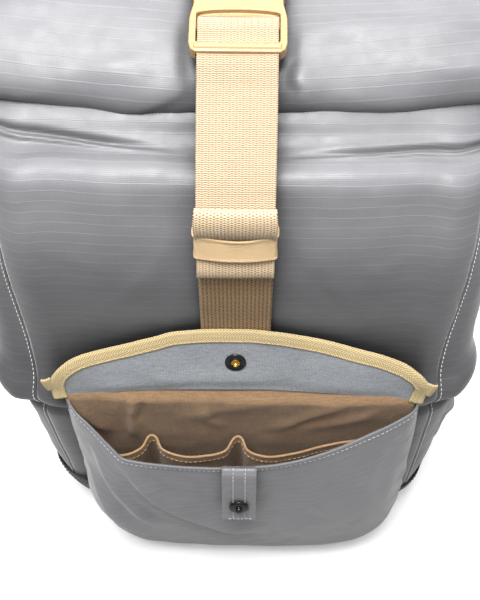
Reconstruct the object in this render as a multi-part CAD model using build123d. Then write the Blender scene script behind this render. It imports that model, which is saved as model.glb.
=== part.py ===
from build123d import *
import math
import os

# A soft roll-top backpack, millimetres. +Z is up, +X is to the right seen from the
# front, -Y is the front (pocket side) and +Y is the side worn against the back.
# The origin is the middle of the base, on the ground.

# ---- driving dimensions ----
CLOTH = 2.0            # pack cloth with its lining
WEB_WIDE = 50.0        # closure webbing
WEB_THICK = 1.8
STRAP_WEB = 25.0       # shoulder and handle webbing
GAP = 0.2              # clearance left between pieces that are sewn together

# Body cross-sections: height, half width, front, back, corner radius.
BODY_SECTIONS = [
    (4, 152, -78, 84, 28),
    (40, 164, -87, 90, 38),
    (110, 170, -92.3, 92, 44),
    (170, 172, -94.6, 92, 44),
    (208, 173, -94, 92, 44),
    (230, 173, -90, 92, 44),
    (247, 173, -84.2, 92, 43),
    (264, 173, -77.8, 92, 42),
    (300, 172, -66.5, 92, 40),
    (350, 171, -60, 92, 38),
    (400, 170, -50, 92, 36),
    (440, 172, -40, 92, 30),
]
SIDE_SEAM = 146.0      # X of the seams between the front or back and the side panels
BASE_THICK = 3.8
BOOT_TOP = 41.0        # height of the dark base boot

FRAME_SHEET_BACK = 87.0

# Collar that closes the top of the body under the roll, as (Y, Z).
COLLAR_PATH = [(-50, 396), (-28, 406), (8, 405.5), (28, 405.5), (58, 414), (84, 427), (92, 433)]
COLLAR_HALF = 169.0
COLLAR_THICK = 1.6
COLLAR_GAP = 1.7

# The rolled-up mouth: a flattened spiral seen from the side.
ROLL_HALF = 195.0
ROLL_CENTRE = (50.0, 436.5)
ROLL_LONG = 48.0
ROLL_SHORT = 21.0
ROLL_TILT = 24.0
ROLL_TURNS = 2.25
ROLL_PITCH = 4.5
ROLL_THICK = 1.5

# Side-release buckle, in its own plane: x across, y along the strap, z out of it.
BUCKLE_SLOPE = 14.0
BUCKLE_AT = (0.0, 40.0, 460.5)
BUCKLE_WIDE = 60.0
BUCKLE_DEEP = 7.5
BAR_RADIUS = 2.8
BAR_HEIGHT = 3.5
WINDOW_HALF = 25.6
MALE_END = 20.0
PRONG_REACH = 50.0
PRONG_ROOT = 20.9
FEMALE_START = 20.4
FEMALE_END = 62.0
FEMALE_BAR = 58.5

# Closure strap: straight stretch down the front, under the keeper, as (Y, Z).
STRAP_LOW = (-69.0, 328.0)
STRAP_HIGH = (-57.3, 397.0)
BUNDLE_THICK = 6.0
BUNDLE_GAP = 0.4
BUNDLE_LOW = 351.0
BUNDLE_HIGH = 405.0
KEEPER_MID = 377.0
KEEPER_WIDE = 18.0
KEEPER_THICK = 1.5

# Front pocket.
POCKET_HALF = 131.0
POCKET_THICK = 1.6
POCKET_FRONT = [
    (-140, 207), (-142, 160), (-142, 110), (-138, 60), (-130, 25), (-116, 8), (-98, 5.2), (-82, 5.2)
]
LINING_BACK = -97.2
ORGANIZER_TOP = 184.0

# Pocket flap, standing open and leaning back from its hinge seam.
FLAP_AT = (0.0, -95.0, 237.0)
FLAP_LEAN = 19.0
FLAP_HALF = 138.0
FLAP_SIDE = 27.0
FLAP_HIGH = 59.0
FLAP_THICK = 2.0
BINDING_WIDE = 11.0
BINDING_THICK = 4.0
SNAP_UP = 33.0         # flap snap, measured from the hinge seam

# Snap tab that hangs from the pocket lip.
TAB_WIDE = 25.4
TAB_THICK = 2.2
TAB_PATH = [(-143.6, 206), (-147, 190), (-150.4, 170), (-153, 153), (-154, 144)]
TAB_SNAP_UP = 166.0    # height of the stud

# Side pockets.
SIDE_POCKET_LOW = 38.0
SIDE_POCKET_HIGH = 212.0
SIDE_BINDING = 9.0
SIDE_PLAN_LOW = [(166.5, -71), (173.5, -46), (176, -6), (175, 36), (169.5, 71)]
SIDE_PLAN_HIGH = [(170.5, -78), (183, -46), (187, -6), (184, 36), (171.5, 75)]

# Harness on the back.
PAD_FRONT = 95.3
PAD_THICK = 11.5
PAD_INNER = 13.0
PAD_OUTER = 106.0
PAD_LOW = 112.0
PAD_HIGH = 356.0
YOKE_FRONT = 93.2
YOKE_THICK = 3.0
HARNESS_X = 62.0
HARNESS_TOP = 384.0
HARNESS_SPLAY = 10.0
HARNESS_WIDE = 62.0
HARNESS_THICK = 12.0
HARNESS_PATH = [(103, HARNESS_TOP), (114, 396), (127, 385), (138, 330), (137, 260), (129, 198)]
LOCK_DROP = 9.0
LOCK_WIDE = 38.0
LOCK_LONG = 30.0
HANDLE_AT = (0.0, 100.6, 421.5)
HANDLE_LEAN = 35.0
HANDLE_HALF = 50.0
HANDLE_HIGH = 38.0

MAKE_DIR = "parts"


# ---- helpers ----
def ribbon(points, thickness, stations=24):
    """Outline of a strip of even thickness that follows a smooth path."""
    path = Spline(*points)
    sides = []
    for side in (0.5, -0.5):
        offset = []
        for step in range(stations + 1):
            place = path @ (step / stations)
            along = path % (step / stations)
            shift = side * thickness
            offset.append((place.X - shift * along.Y, place.Y + shift * along.X))
        sides.append(Spline(*offset))
    left, right = sides
    return make_face([left, right, Line(left @ 0, right @ 0), Line(left @ 1, right @ 1)])


def across(face, half_width, middle=0.0):
    """Extrude a (Y, Z) outline sideways, both ways from X = middle."""
    solid = extrude(Plane.YZ * face, amount=half_width, both=True)
    return Pos(middle, 0, 0) * solid


def upward(face, low, high):
    """Extrude a plan outline from one height to another."""
    return Pos(0, 0, low) * extrude(face, amount=high - low)


def block(x0, x1, y0, y1, z0, z1):
    """Box between two corners."""
    middle = Pos((x0 + x1) / 2, (y0 + y1) / 2, (z0 + z1) / 2)
    return middle * Box(x1 - x0, y1 - y0, z1 - z0)


def polygon_face(points):
    """Flat face through straight-sided points."""
    return make_face(Polyline(*points, close=True))


def outline_on_back(points, front, thickness):
    """Plate from an (X, Z) outline, standing upright with its face towards the back."""
    face = Plane(origin=(0, front, 0), x_dir=(1, 0, 0), z_dir=(0, -1, 0)) * polygon_face(points)
    return extrude(face, amount=-thickness)


def tube_section(half_width, front, back, radius, height, inset):
    """One rounded cross-section of the body."""
    wide = 2 * (half_width - inset)
    deep = back - front - 2 * inset
    shape = RectangleRounded(wide, deep, radius - inset)
    return Pos(0, (front + back) / 2, height) * shape


def body_core(inset):
    """The whole body as a solid, smaller all round by the inset."""
    shapes = []
    for height, half_width, front, back, radius in BODY_SECTIONS:
        shapes.append(tube_section(half_width, front, back, radius, height, inset))
    return loft(shapes, ruled=False)


def strip_along(stations, width, thickness):
    """Loft a flat strap through (X, Y, Z) stations; its width stays level with X."""
    shapes = []
    count = len(stations) - 1
    for index, place in enumerate(stations):
        before = Vector(*stations[max(index - 1, 0)])
        after = Vector(*stations[min(index + 1, count)])
        along = (after - before).normalized()
        across_dir = (Vector(1, 0, 0) - along * along.X).normalized()
        plane = Plane(origin=place, x_dir=across_dir, z_dir=along)
        shapes.append(plane * RectangleRounded(width, thickness, thickness * 0.3))
    return loft(shapes, ruled=False)


def mirror_x(solid):
    return mirror(solid, about=Plane.YZ)


# ---- body of the bag ----
def collar_cutter():
    """Everything above the underside of the collar, which trims the body tube."""
    drop = COLLAR_THICK / 2 + COLLAR_GAP
    line = [(-90, 376 - drop)] + [(y, z - drop) for y, z in COLLAR_PATH] + [(120, 446 - drop)]
    curve = Polyline(*line)
    top = Polyline(line[0], (-90, 520), (120, 520), line[-1])
    return across(make_face([curve, top]), 230)


def body_panels():
    """The tube of the bag, cut along its seams into panels and the base boot."""
    shell = body_core(0) - body_core(CLOTH) - collar_cutter()
    wall = shell & block(-200, 200, -120, 120, BOOT_TOP + GAP, 500)
    boot = shell & block(-200, 200, -120, 120, BASE_THICK + GAP, BOOT_TOP)
    inner = SIDE_SEAM - GAP / 2
    outer = SIDE_SEAM + GAP / 2
    return {
        "front_panel": wall & block(-inner, inner, -120, 0, 0, 500),
        "back_panel": wall & block(-inner, inner, 0, 120, 0, 500),
        "side_panel_left": wall & block(-200, -outer, -120, 120, 0, 500),
        "side_panel_right": wall & block(outer, 200, -120, 120, 0, 500),
        "base_boot": boot,
    }


def base_panel():
    height, half_width, front, back, radius = BODY_SECTIONS[0]
    plan = Pos(0, (front + back) / 2) * RectangleRounded(2 * half_width, back - front, radius)
    return extrude(plan, amount=BASE_THICK)


def top_collar():
    return across(ribbon(COLLAR_PATH, COLLAR_THICK), COLLAR_HALF)


def frame_sheet():
    """Stiff foam sheet inside the back panel."""
    return block(-126, 126, FRAME_SHEET_BACK - 4.0, FRAME_SHEET_BACK, 46, 368)


# ---- the rolled mouth ----
def roll_top():
    """Mouth of the bag rolled down on itself."""
    tilt = math.radians(ROLL_TILT)
    steps = int(ROLL_TURNS * 24)
    points = []
    for step in range(steps + 1):
        turn = 2 * math.pi * step / 24
        shrink = ROLL_THICK / 2 + ROLL_PITCH * step / 24
        u = (ROLL_LONG - shrink) * math.cos(turn + math.pi)
        v = -(ROLL_SHORT - shrink) * math.sin(turn + math.pi)
        y = ROLL_CENTRE[0] + u * math.cos(tilt) - v * math.sin(tilt)
        z = ROLL_CENTRE[1] + u * math.sin(tilt) + v * math.cos(tilt)
        points.append((y, z))
    return across(ribbon(points, ROLL_THICK, stations=3 * steps), ROLL_HALF)


def mouth_stiffener():
    """Flat strip sewn into the edge of the mouth, at the core of the roll."""
    strip = Rectangle(36, 1.5)
    face = Pos(*ROLL_CENTRE) * Rot(0, 0, ROLL_TILT) * strip
    return across(face, ROLL_HALF - 4)


# ---- side-release buckle ----
def buckle_plane():
    slope = math.radians(BUCKLE_SLOPE)
    normal = (0, -math.sin(slope), math.cos(slope))
    return Plane(origin=BUCKLE_AT, x_dir=(1, 0, 0), z_dir=normal)


def in_buckle(y, z):
    """World (Y, Z) of a point given along and out of the buckle plane."""
    slope = math.radians(BUCKLE_SLOPE)
    world_y = BUCKLE_AT[1] + y * math.cos(slope) - z * math.sin(slope)
    world_z = BUCKLE_AT[2] + y * math.sin(slope) + z * math.cos(slope)
    return (world_y, world_z)


def buckle_male():
    """Adjustable half: frame, wrap bar, end bar, shoulder plate and centre guide."""
    half = BUCKLE_WIDE / 2
    outline = polygon_face([(-half, -17), (half, -17), (half, 4), (half - 2, 20), (2 - half, 20), (-half, 4)])
    frame = extrude(outline, amount=BUCKLE_DEEP)
    frame = fillet(frame.edges().filter_by(Axis.Z), 1.8)
    frame = frame - block(-WINDOW_HALF, WINDOW_HALF, -10, 9.5, -1, 9)
    frame = frame - block(-WINDOW_HALF, WINDOW_HALF, -18, -9, -1, 2.4)
    bar = Pos(0, 0, BAR_HEIGHT) * Rot(0, 90, 0) * Cylinder(BAR_RADIUS, 2 * WINDOW_HALF + 3)
    guide = block(-4, 4, 18, 44, 1.6, 5.4)
    guide = fillet(guide.edges().filter_by(Axis.Z), 1.2)
    return buckle_plane() * (frame + bar + guide)


def prong_right():
    """Sprung side arm of the male half, with a shallow latch bulge."""
    outer = Spline((24.6, PRONG_ROOT), (24.8, 30), (25.4, 38), (22.8, 46), (20.2, PRONG_REACH))
    inner = Spline((19.8, PRONG_ROOT), (20.0, 34), (18.2, PRONG_REACH))
    face = make_face([outer, inner, Line(outer @ 0, inner @ 0), Line(outer @ 1, inner @ 1)])
    return buckle_plane() * (Pos(0, 0, 1.2) * extrude(face, amount=4.6))


def buckle_female():
    """Fixed half: a flat socket with side windows and a webbing slot at its end."""
    half = BUCKLE_WIDE / 2 - 1
    outline = polygon_face([
        (-half, FEMALE_START), (half, FEMALE_START), (half, 50), (half - 2, FEMALE_END),
        (2 - half, FEMALE_END), (-half, 50)
    ])
    body = Pos(0, 0, -1.2) * extrude(outline, amount=9.4)
    body = fillet(body.edges().filter_by(Axis.Z), 2.5)
    cavity = block(-26.0, 26.0, FEMALE_START - 1, 48, 0.7, 6.7)
    nose = block(-22.5, 22.5, 47, 52.4, 0.7, 6.7)
    windows = block(-40, 40, 30.5, 46, 0.7, 6.7)
    slot = block(-WINDOW_HALF, WINDOW_HALF, 53.6, 66, -3, 12)
    bar = Pos(0, FEMALE_BAR, 3.5) * Rot(0, 90, 0) * Cylinder(2.5, 2 * WINDOW_HALF + 3)
    return buckle_plane() * (body - cavity - nose - windows - slot + bar)


# ---- closure webbing ----
def loop_points(centre_y, centre_z, radius, start, stop, steps=8):
    """Points round a bar, angles in degrees in the buckle plane, as world (Y, Z)."""
    points = []
    for step in range(steps + 1):
        angle = math.radians(start + (stop - start) * step / steps)
        y = centre_y + radius * math.cos(angle)
        z = centre_z + radius * math.sin(angle)
        points.append(in_buckle(y, z))
    return points


def keeper_place():
    """Middle of the keeper on the straight stretch of the strap, and the strap's direction there."""
    low = Vector(0, *STRAP_LOW)
    high = Vector(0, *STRAP_HIGH)
    along = (high - low).normalized()
    share = (KEEPER_MID - STRAP_LOW[1]) / (STRAP_HIGH[1] - STRAP_LOW[1])
    middle = low + (high - low) * share
    return middle, along


def closure_webbing():
    """Load strap from the front panel to the buckle, and the tail folded back down."""
    load = [(-87.8, 246), (-81.2, 262), (-72.6, 286), STRAP_LOW, STRAP_HIGH, (-48, 408), (-24, 423)]
    load = load + [(2, 439)]
    load = load + [in_buckle(-17, -0.4), in_buckle(-8, -0.4)]
    wrap = loop_points(0, BAR_HEIGHT, 3.95, -90, 90)
    tail = [in_buckle(-9, 9.0), in_buckle(-18, 9.3), (1, 447), (-26, 428), (-50, 411), (-60.6, 397)]
    strap = across(ribbon(load + wrap + tail, WEB_THICK, stations=120), WEB_WIDE / 2)
    middle, along = keeper_place()
    rise = (BUNDLE_HIGH - KEEPER_MID) / along.Z
    drop = (KEEPER_MID - BUNDLE_LOW) / along.Z
    centre = WEB_THICK / 2 + BUNDLE_GAP + BUNDLE_THICK / 2
    local = Plane(origin=middle, x_dir=(0, along.Y, along.Z), z_dir=(1, 0, 0))
    outline = RectangleRounded(rise + drop, BUNDLE_THICK, BUNDLE_THICK / 2 - 0.1)
    side = Pos((rise - drop) / 2, centre) * outline
    bundle = extrude(local * side, amount=WEB_WIDE / 2, both=True)
    return strap + bundle


def strap_keeper():
    """Elastic band round the strap and its folded tail."""
    middle, along = keeper_place()
    back = WEB_THICK / 2 + 0.4
    front = WEB_THICK / 2 + BUNDLE_GAP + BUNDLE_THICK + 0.4
    inner = Rectangle(WEB_WIDE + 1.2, front + back)
    outer = RectangleRounded(WEB_WIDE + 1.2 + 2 * KEEPER_THICK, front + back + 2 * KEEPER_THICK, 1.4)
    ring = outer - inner
    local = Plane(origin=middle, x_dir=(1, 0, 0), z_dir=(0, along.Y, along.Z))
    ring = Pos(0, -(front - back) / 2) * ring
    return extrude(local * ring, amount=KEEPER_WIDE / 2, both=True)


def top_strap():
    """Strap from the back yoke over to the fixed half of the buckle."""
    loop = loop_points(FEMALE_BAR, 3.5, 3.6, 240, 0)
    path = loop + [(104.4, 464), (105.2, 450), (103.6, 434), (100.6, 418), (98.4, 402)]
    return across(ribbon(path, WEB_THICK, stations=60), WEB_WIDE / 2)


# ---- front pocket ----
def pocket_front():
    return across(ribbon(POCKET_FRONT, POCKET_THICK, stations=40), POCKET_HALF)


def pocket_gusset(side):
    """Side wall of the pocket, from the front of the pocket back to the body."""
    front = Spline(*POCKET_FRONT[:-2])
    rim = [(-80.6, 5.6), (-89.5, 40), (-94.6, 110), (-97.6, 190), (-98.6, 214), (-99.6, 231)]
    back = Polyline(front @ 1, *rim, front @ 0)
    inner = POCKET_HALF + 1.0
    plate = across(make_face([front, back]), POCKET_THICK / 2, inner + POCKET_THICK / 2)
    return plate if side > 0 else mirror_x(plate)


def pocket_lining():
    """Brown lining sheet on the back wall of the pocket."""
    return block(-POCKET_HALF + 1, POCKET_HALF - 1, LINING_BACK - 1.0, LINING_BACK, 10, 230)


def pocket_organizer():
    """Pleated slip pockets inside the front pocket."""
    plan = [
        (-128, -99.6), (-118, -112), (-92, -120), (-73, -112), (-65, -99.8), (-58, -115), (-44, -120),
        (-8, -115), (2, -99.8), (9, -114), (24, -119), (48, -115), (98, -101.4), (128, -99.6)
    ]
    return upward(ribbon(plan, 1.2, stations=90), 20, ORGANIZER_TOP)


# ---- pocket flap ----
def flap_plane():
    lean = math.radians(FLAP_LEAN)
    return Plane(origin=FLAP_AT, x_dir=(1, 0, 0), z_dir=(0, -math.cos(lean), math.sin(lean)))


def flap_outline(inset):
    """Outline of the flap in its own plane: x across, y up from the hinge seam."""
    half = FLAP_HALF - inset
    side = FLAP_SIDE - inset * 0.6
    top = FLAP_HIGH - inset
    shoulder = Vector(half - 26, side + 13 - inset * 0.1)
    right = Line((half, 1.5), (half, side - 8))
    left = Line((-half, 1.5), (-half, side - 8))
    foot = Line((-half, 1.5), (half, 1.5))
    turn_right = TangentArc((half, side - 8), shoulder, tangent=(0, 1))
    turn_left = TangentArc((-half, side - 8), (-shoulder.X, shoulder.Y), tangent=(0, 1))
    crown = ThreePointArc(shoulder, (0, top), (-shoulder.X, shoulder.Y))
    return make_face([right, left, foot, turn_right, turn_left, crown])


def flap_cloth():
    inner = flap_outline(1.2)
    solid = extrude(inner, amount=FLAP_THICK / 2, both=True)
    return flap_plane() * solid


def flap_binding():
    """Folded tape round the three free edges of the flap."""
    ring = flap_outline(0) - flap_outline(BINDING_WIDE)
    ring = ring - Rectangle(2 * (FLAP_HALF - BINDING_WIDE), 30)
    solid = extrude(ring, amount=BINDING_THICK / 2, both=True)
    return flap_plane() * solid - flap_cloth()


def on_flap(solid):
    return flap_plane() * (Pos(0, SNAP_UP, 0) * solid)


def flap_snap_socket():
    """Socket half of the snap, on the lining side."""
    ring = Pos(0, 0, 2.1) * Cylinder(7.5, 2.0)
    return on_flap(ring - Pos(0, 0, 2.3) * Cylinder(3.2, 2.0))


def flap_snap_eyelet():
    """Brass eyelet that grips the socket through the cloth."""
    ring = Cylinder(3.0, 0.7) - Cylinder(1.9, 3)
    return on_flap(Pos(0, 0, 1.75) * ring)


def flap_snap_cap():
    """Round cap on the outer side of the flap."""
    cap = Cylinder(7.2, 1.6)
    cap = fillet(cap.edges().filter_by(GeomType.CIRCLE), 0.6)
    return on_flap(Pos(0, 0, -1.9) * cap)


# ---- snap tab ----
def snap_tab():
    return across(ribbon(TAB_PATH, TAB_THICK), TAB_WIDE / 2)


def tab_snap_plane():
    path = Spline(*TAB_PATH)
    share = (TAB_PATH[0][1] - TAB_SNAP_UP) / (TAB_PATH[0][1] - TAB_PATH[-1][1])
    place = path @ share
    along = path % share
    outward = (0, along.Y, -along.X)
    return Plane(origin=(0, place.X, place.Y), x_dir=(1, 0, 0), z_dir=outward)


def tab_snap_stud():
    """Stud half of the snap: flange and ball, on the outer face of the tab."""
    flange = Cylinder(6.9, 1.4)
    flange = fillet(flange.edges().filter_by(GeomType.CIRCLE), 0.5)
    ball = Pos(0, 0, 2.4) * Cylinder(3.0, 4.0)
    stud = Pos(0, 0, TAB_THICK / 2 + 0.9) * (flange + ball)
    return tab_snap_plane() * stud


def tab_snap_post():
    """Flat rivet head behind the tab."""
    head = Cylinder(5.0, 1.2)
    return tab_snap_plane() * (Pos(0, 0, -TAB_THICK / 2 - 0.8) * head)


# ---- side pockets ----
def side_pocket_plan(height):
    """Plan path of the slack right side pocket at one height: it widens upwards."""
    rise = (height - SIDE_POCKET_LOW) / (SIDE_POCKET_HIGH - SIDE_POCKET_LOW)
    path = []
    for low, high in zip(SIDE_PLAN_LOW, SIDE_PLAN_HIGH):
        path.append((low[0] + (high[0] - low[0]) * rise, low[1] + (high[1] - low[1]) * rise))
    return path


def side_sheet(low, high, thickness):
    """Sheet of the side pocket between two heights."""
    bottom = Pos(0, 0, low) * ribbon(side_pocket_plan(low), thickness)
    top = Pos(0, 0, high) * ribbon(side_pocket_plan(high), thickness)
    return loft([bottom, top], ruled=True)


def side_pocket(side):
    sheet = side_sheet(SIDE_POCKET_LOW, SIDE_POCKET_HIGH, 1.5)
    return sheet if side > 0 else mirror_x(sheet)


def side_pocket_binding(side):
    tape = side_sheet(SIDE_POCKET_HIGH + GAP, SIDE_POCKET_HIGH + SIDE_BINDING, 2.6)
    return tape if side > 0 else mirror_x(tape)


# ---- harness ----
def back_pad(side):
    """Padded panel on one side of the spine channel."""
    plan = Pos((PAD_INNER + PAD_OUTER) / 2, (PAD_LOW + PAD_HIGH) / 2)
    shape = plan * RectangleRounded(PAD_OUTER - PAD_INNER, PAD_HIGH - PAD_LOW, 22)
    plane = Plane(origin=(0, PAD_FRONT, 0), x_dir=(1, 0, 0), z_dir=(0, -1, 0))
    pad = extrude(plane * shape, amount=-PAD_THICK)
    pad = fillet(pad.faces().sort_by(Axis.Y)[-1].edges(), 4)
    return pad if side > 0 else mirror_x(pad)


def lumbar_pad():
    """Padded strip across the foot of the back."""
    shape = Pos(0, 73) * RectangleRounded(2 * PAD_OUTER, 62, 22)
    plane = Plane(origin=(0, PAD_FRONT, 0), x_dir=(1, 0, 0), z_dir=(0, -1, 0))
    pad = extrude(plane * shape, amount=-PAD_THICK)
    return fillet(pad.faces().sort_by(Axis.Y)[-1].edges(), 4)


def yoke():
    """Reinforcing patch that the shoulder straps and handle are sewn to."""
    corners = [(-112, 372), (112, 372), (96, 426), (-96, 426)]
    return outline_on_back(corners, YOKE_FRONT, YOKE_THICK)


def harness_place(solid):
    """Put a solid made in the strap's own upright plane on the right side, splayed out."""
    turn = Pos(HARNESS_X, 0, HARNESS_TOP) * Rot(0, -HARNESS_SPLAY, 0) * Pos(0, 0, -HARNESS_TOP)
    return turn * solid


def lock_plane():
    """Frame of the ladder lock in the strap's plane: origin on its top bar, y down the strap."""
    path = Spline(*HARNESS_PATH)
    foot = path @ 1
    along = path % 1
    origin = (0, foot.X + along.X * LOCK_DROP, foot.Y + along.Y * LOCK_DROP)
    return Plane(origin=origin, x_dir=(1, 0, 0), z_dir=(0, -along.Y, along.X))


def shoulder_strap(side):
    """Padded strap with a webbing loop at its foot."""
    strap = across(ribbon(HARNESS_PATH, HARNESS_THICK, stations=40), HARNESS_WIDE / 2)
    ring = Rot(0, 90, 0) * (Cylinder(4.0, STRAP_WEB) - Cylinder(2.3, STRAP_WEB + 2))
    tongue = block(-STRAP_WEB / 2, STRAP_WEB / 2, -16, -3.4, -1.2, 1.2)
    strap = harness_place(strap + lock_plane() * (ring + tongue))
    return strap if side > 0 else mirror_x(strap)


def ladder_lock(side):
    """Plastic adjuster with a round top bar and two grip bars."""
    outline = Pos(0, LOCK_LONG / 2 - 3) * RectangleRounded(LOCK_WIDE, LOCK_LONG, 4)
    frame = extrude(outline, amount=2.4, both=True)
    frame = frame - block(-13.4, 13.4, -6, 6.4, -4, 4)
    frame = frame - block(-13.4, 13.4, 9.4, 14.6, -4, 4)
    frame = frame - block(-13.4, 13.4, 17.6, 22.6, -4, 4)
    bar = Rot(0, 90, 0) * Cylinder(1.9, LOCK_WIDE - 4)
    lock = harness_place(lock_plane() * (frame + bar))
    return lock if side > 0 else mirror_x(lock)


def webbing_wing(side):
    """Triangular tab sewn into the back corner, which the lower webbing starts from."""
    wing = outline_on_back([(119, 28), (146, 24), (146, 104), (133, 78)], 93.4, 1.8)
    return wing if side > 0 else mirror_x(wing)


def lower_webbing(side):
    """Webbing from the ladder lock down to the corner tab."""
    stations = [(101, 120, 159), (113, 116.5, 124), (126, 107, 88), (134, 99, 58)]
    strap = strip_along(stations, STRAP_WEB, 1.8)
    return strap if side > 0 else mirror_x(strap)


def handle_anchors():
    """Two stitched feet of the haul loop on the yoke."""
    foot = block(HANDLE_HALF - 12.5, HANDLE_HALF + 12.5, YOKE_FRONT + YOKE_THICK + GAP, 98.8, 404, 420)
    return Compound([foot, mirror_x(foot)])


def haul_handle():
    """Arched webbing haul loop."""
    outer = ThreePointArc((-HANDLE_HALF - 12, 0), (0, HANDLE_HIGH + 6), (HANDLE_HALF + 12, 0))
    inner = ThreePointArc((-HANDLE_HALF + 12, 0), (0, HANDLE_HIGH - 19), (HANDLE_HALF - 12, 0))
    feet = [Line(outer @ 0, inner @ 0), Line(outer @ 1, inner @ 1)]
    face = make_face([outer, inner, *feet])
    lean = math.radians(HANDLE_LEAN)
    plane = Plane(origin=HANDLE_AT, x_dir=(1, 0, 0), z_dir=(0, -math.cos(lean), math.sin(lean)))
    return plane * extrude(face, amount=1.25, both=True)


# ---- write every piece ----
def all_parts():
    parts = body_panels()
    parts["base_panel"] = base_panel()
    parts["top_collar"] = top_collar()
    parts["frame_sheet"] = frame_sheet()
    parts["roll_top"] = roll_top()
    parts["mouth_stiffener"] = mouth_stiffener()
    parts["buckle_male"] = buckle_male()
    parts["buckle_female"] = buckle_female()
    parts["prong_right"] = prong_right()
    parts["prong_left"] = mirror_x(prong_right())
    parts["closure_webbing"] = closure_webbing()
    parts["strap_keeper"] = strap_keeper()
    parts["top_strap"] = top_strap()
    parts["pocket_front"] = pocket_front()
    parts["pocket_lining"] = pocket_lining()
    parts["pocket_organizer"] = pocket_organizer()
    parts["pocket_flap"] = flap_cloth()
    parts["flap_binding"] = flap_binding()
    parts["flap_snap_socket"] = flap_snap_socket()
    parts["flap_snap_eyelet"] = flap_snap_eyelet()
    parts["flap_snap_cap"] = flap_snap_cap()
    parts["snap_tab"] = snap_tab()
    parts["tab_snap_stud"] = tab_snap_stud()
    parts["tab_snap_post"] = tab_snap_post()
    parts["lumbar_pad"] = lumbar_pad()
    parts["yoke"] = yoke()
    parts["handle_anchors"] = handle_anchors()
    parts["haul_handle"] = haul_handle()
    for name, side in (("left", -1), ("right", 1)):
        parts["pocket_gusset_" + name] = pocket_gusset(side)
        parts["side_pocket_" + name] = side_pocket(side)
        parts["side_pocket_binding_" + name] = side_pocket_binding(side)
        parts["back_pad_" + name] = back_pad(side)
        parts["shoulder_strap_" + name] = shoulder_strap(side)
        parts["ladder_lock_" + name] = ladder_lock(side)
        parts["webbing_wing_" + name] = webbing_wing(side)
        parts["lower_webbing_" + name] = lower_webbing(side)
    return parts


os.makedirs(MAKE_DIR, exist_ok=True)
for node, shape in all_parts().items():
    export_step(shape, os.path.join(MAKE_DIR, node + ".step"))
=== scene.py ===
"""A grey roll-top backpack with a tan strap and an open front pocket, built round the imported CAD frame."""
import math
import bmesh
import bpy
import numpy as np
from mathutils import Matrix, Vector


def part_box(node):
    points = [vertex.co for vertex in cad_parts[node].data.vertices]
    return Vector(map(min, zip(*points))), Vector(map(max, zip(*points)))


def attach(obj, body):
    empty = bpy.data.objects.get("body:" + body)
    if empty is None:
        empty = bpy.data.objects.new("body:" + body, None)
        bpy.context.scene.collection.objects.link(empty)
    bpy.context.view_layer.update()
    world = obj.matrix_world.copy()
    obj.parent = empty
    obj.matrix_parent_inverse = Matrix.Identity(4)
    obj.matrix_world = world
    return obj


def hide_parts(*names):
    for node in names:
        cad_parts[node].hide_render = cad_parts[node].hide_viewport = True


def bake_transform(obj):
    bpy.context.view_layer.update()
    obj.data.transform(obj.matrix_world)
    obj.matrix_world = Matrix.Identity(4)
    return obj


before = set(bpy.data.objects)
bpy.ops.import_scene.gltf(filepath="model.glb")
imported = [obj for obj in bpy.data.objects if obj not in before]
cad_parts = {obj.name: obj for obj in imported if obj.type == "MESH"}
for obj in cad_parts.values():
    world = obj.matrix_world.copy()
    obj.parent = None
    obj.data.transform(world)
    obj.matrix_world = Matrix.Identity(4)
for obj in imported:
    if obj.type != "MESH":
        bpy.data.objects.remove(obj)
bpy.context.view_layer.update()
MM = 0.001


# ---- numbers ----
def ease(t):
    """0 to 1 with soft ends."""
    t = np.clip(t, 0, 1)
    return t * t * (3 - 2 * t)


def curve(x, xs, ys):
    """Smooth line through the points (xs, ys), flat beyond its ends."""
    xs, ys = np.asarray(xs, float), np.asarray(ys, float)
    slope = np.gradient(ys, xs)
    x = np.clip(np.asarray(x, float), xs[0], xs[-1])
    i = np.clip(np.searchsorted(xs, x, side="right") - 1, 0, len(xs) - 2)
    step = xs[i + 1] - xs[i]
    t = (x - xs[i]) / step
    a, b = 2 * t**3 - 3 * t**2 + 1, t**3 - 2 * t**2 + t
    c, d = 1 - a, t**3 - t**2
    return a * ys[i] + b * step * slope[i] + c * ys[i + 1] + d * step * slope[i + 1]


def noise(a, b, cell, seed):
    """Smooth seeded noise between -1 and 1 over two coordinates."""
    table = np.random.RandomState(seed).uniform(-1, 1, (64, 64))
    x, y = np.asarray(a) / cell + 512.0, np.asarray(b) / cell + 512.0
    i, j = np.floor(x).astype(int), np.floor(y).astype(int)
    fx, fy = ease(x - i), ease(y - j)
    i0, i1, j0, j1 = i % 64, (i + 1) % 64, j % 64, (j + 1) % 64
    low = table[i0, j0] * (1 - fx) + table[i1, j0] * fx
    high = table[i0, j1] * (1 - fx) + table[i1, j1] * fx
    return low * (1 - fy) + high * fy


def fold(a, b, points, height, left, right=None, fade=0.25):
    """Ridge along a line of points: it falls off over left mm on one side and right mm on the other."""
    right = left if right is None else right
    points = np.asarray(points, float)
    legs = np.linalg.norm(np.diff(points, axis=0), axis=1)
    total, run = legs.sum(), 0.0
    best = np.full(np.shape(a), 1e9)
    side, along = np.zeros(np.shape(a)), np.zeros(np.shape(a))
    for k, leg in enumerate(legs):
        (x0, y0), (dx, dy) = points[k], (points[k + 1] - points[k]) / leg
        t = np.clip((a - x0) * dx + (b - y0) * dy, 0, leg)
        px, py = a - x0 - t * dx, b - y0 - t * dy
        far = np.hypot(px, py)
        near = far < best
        best = np.where(near, far, best)
        side = np.where(near, dx * py - dy * px, side)
        along = np.where(near, (run + t) / total, along)
        run += leg
    wide = np.where(side > 0, left, right)
    ends = ease(along / fade) * ease((1 - along) / fade) if fade > 0 else 1.0
    return height * np.exp(-((best / wide) ** 2)) * ends


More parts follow.
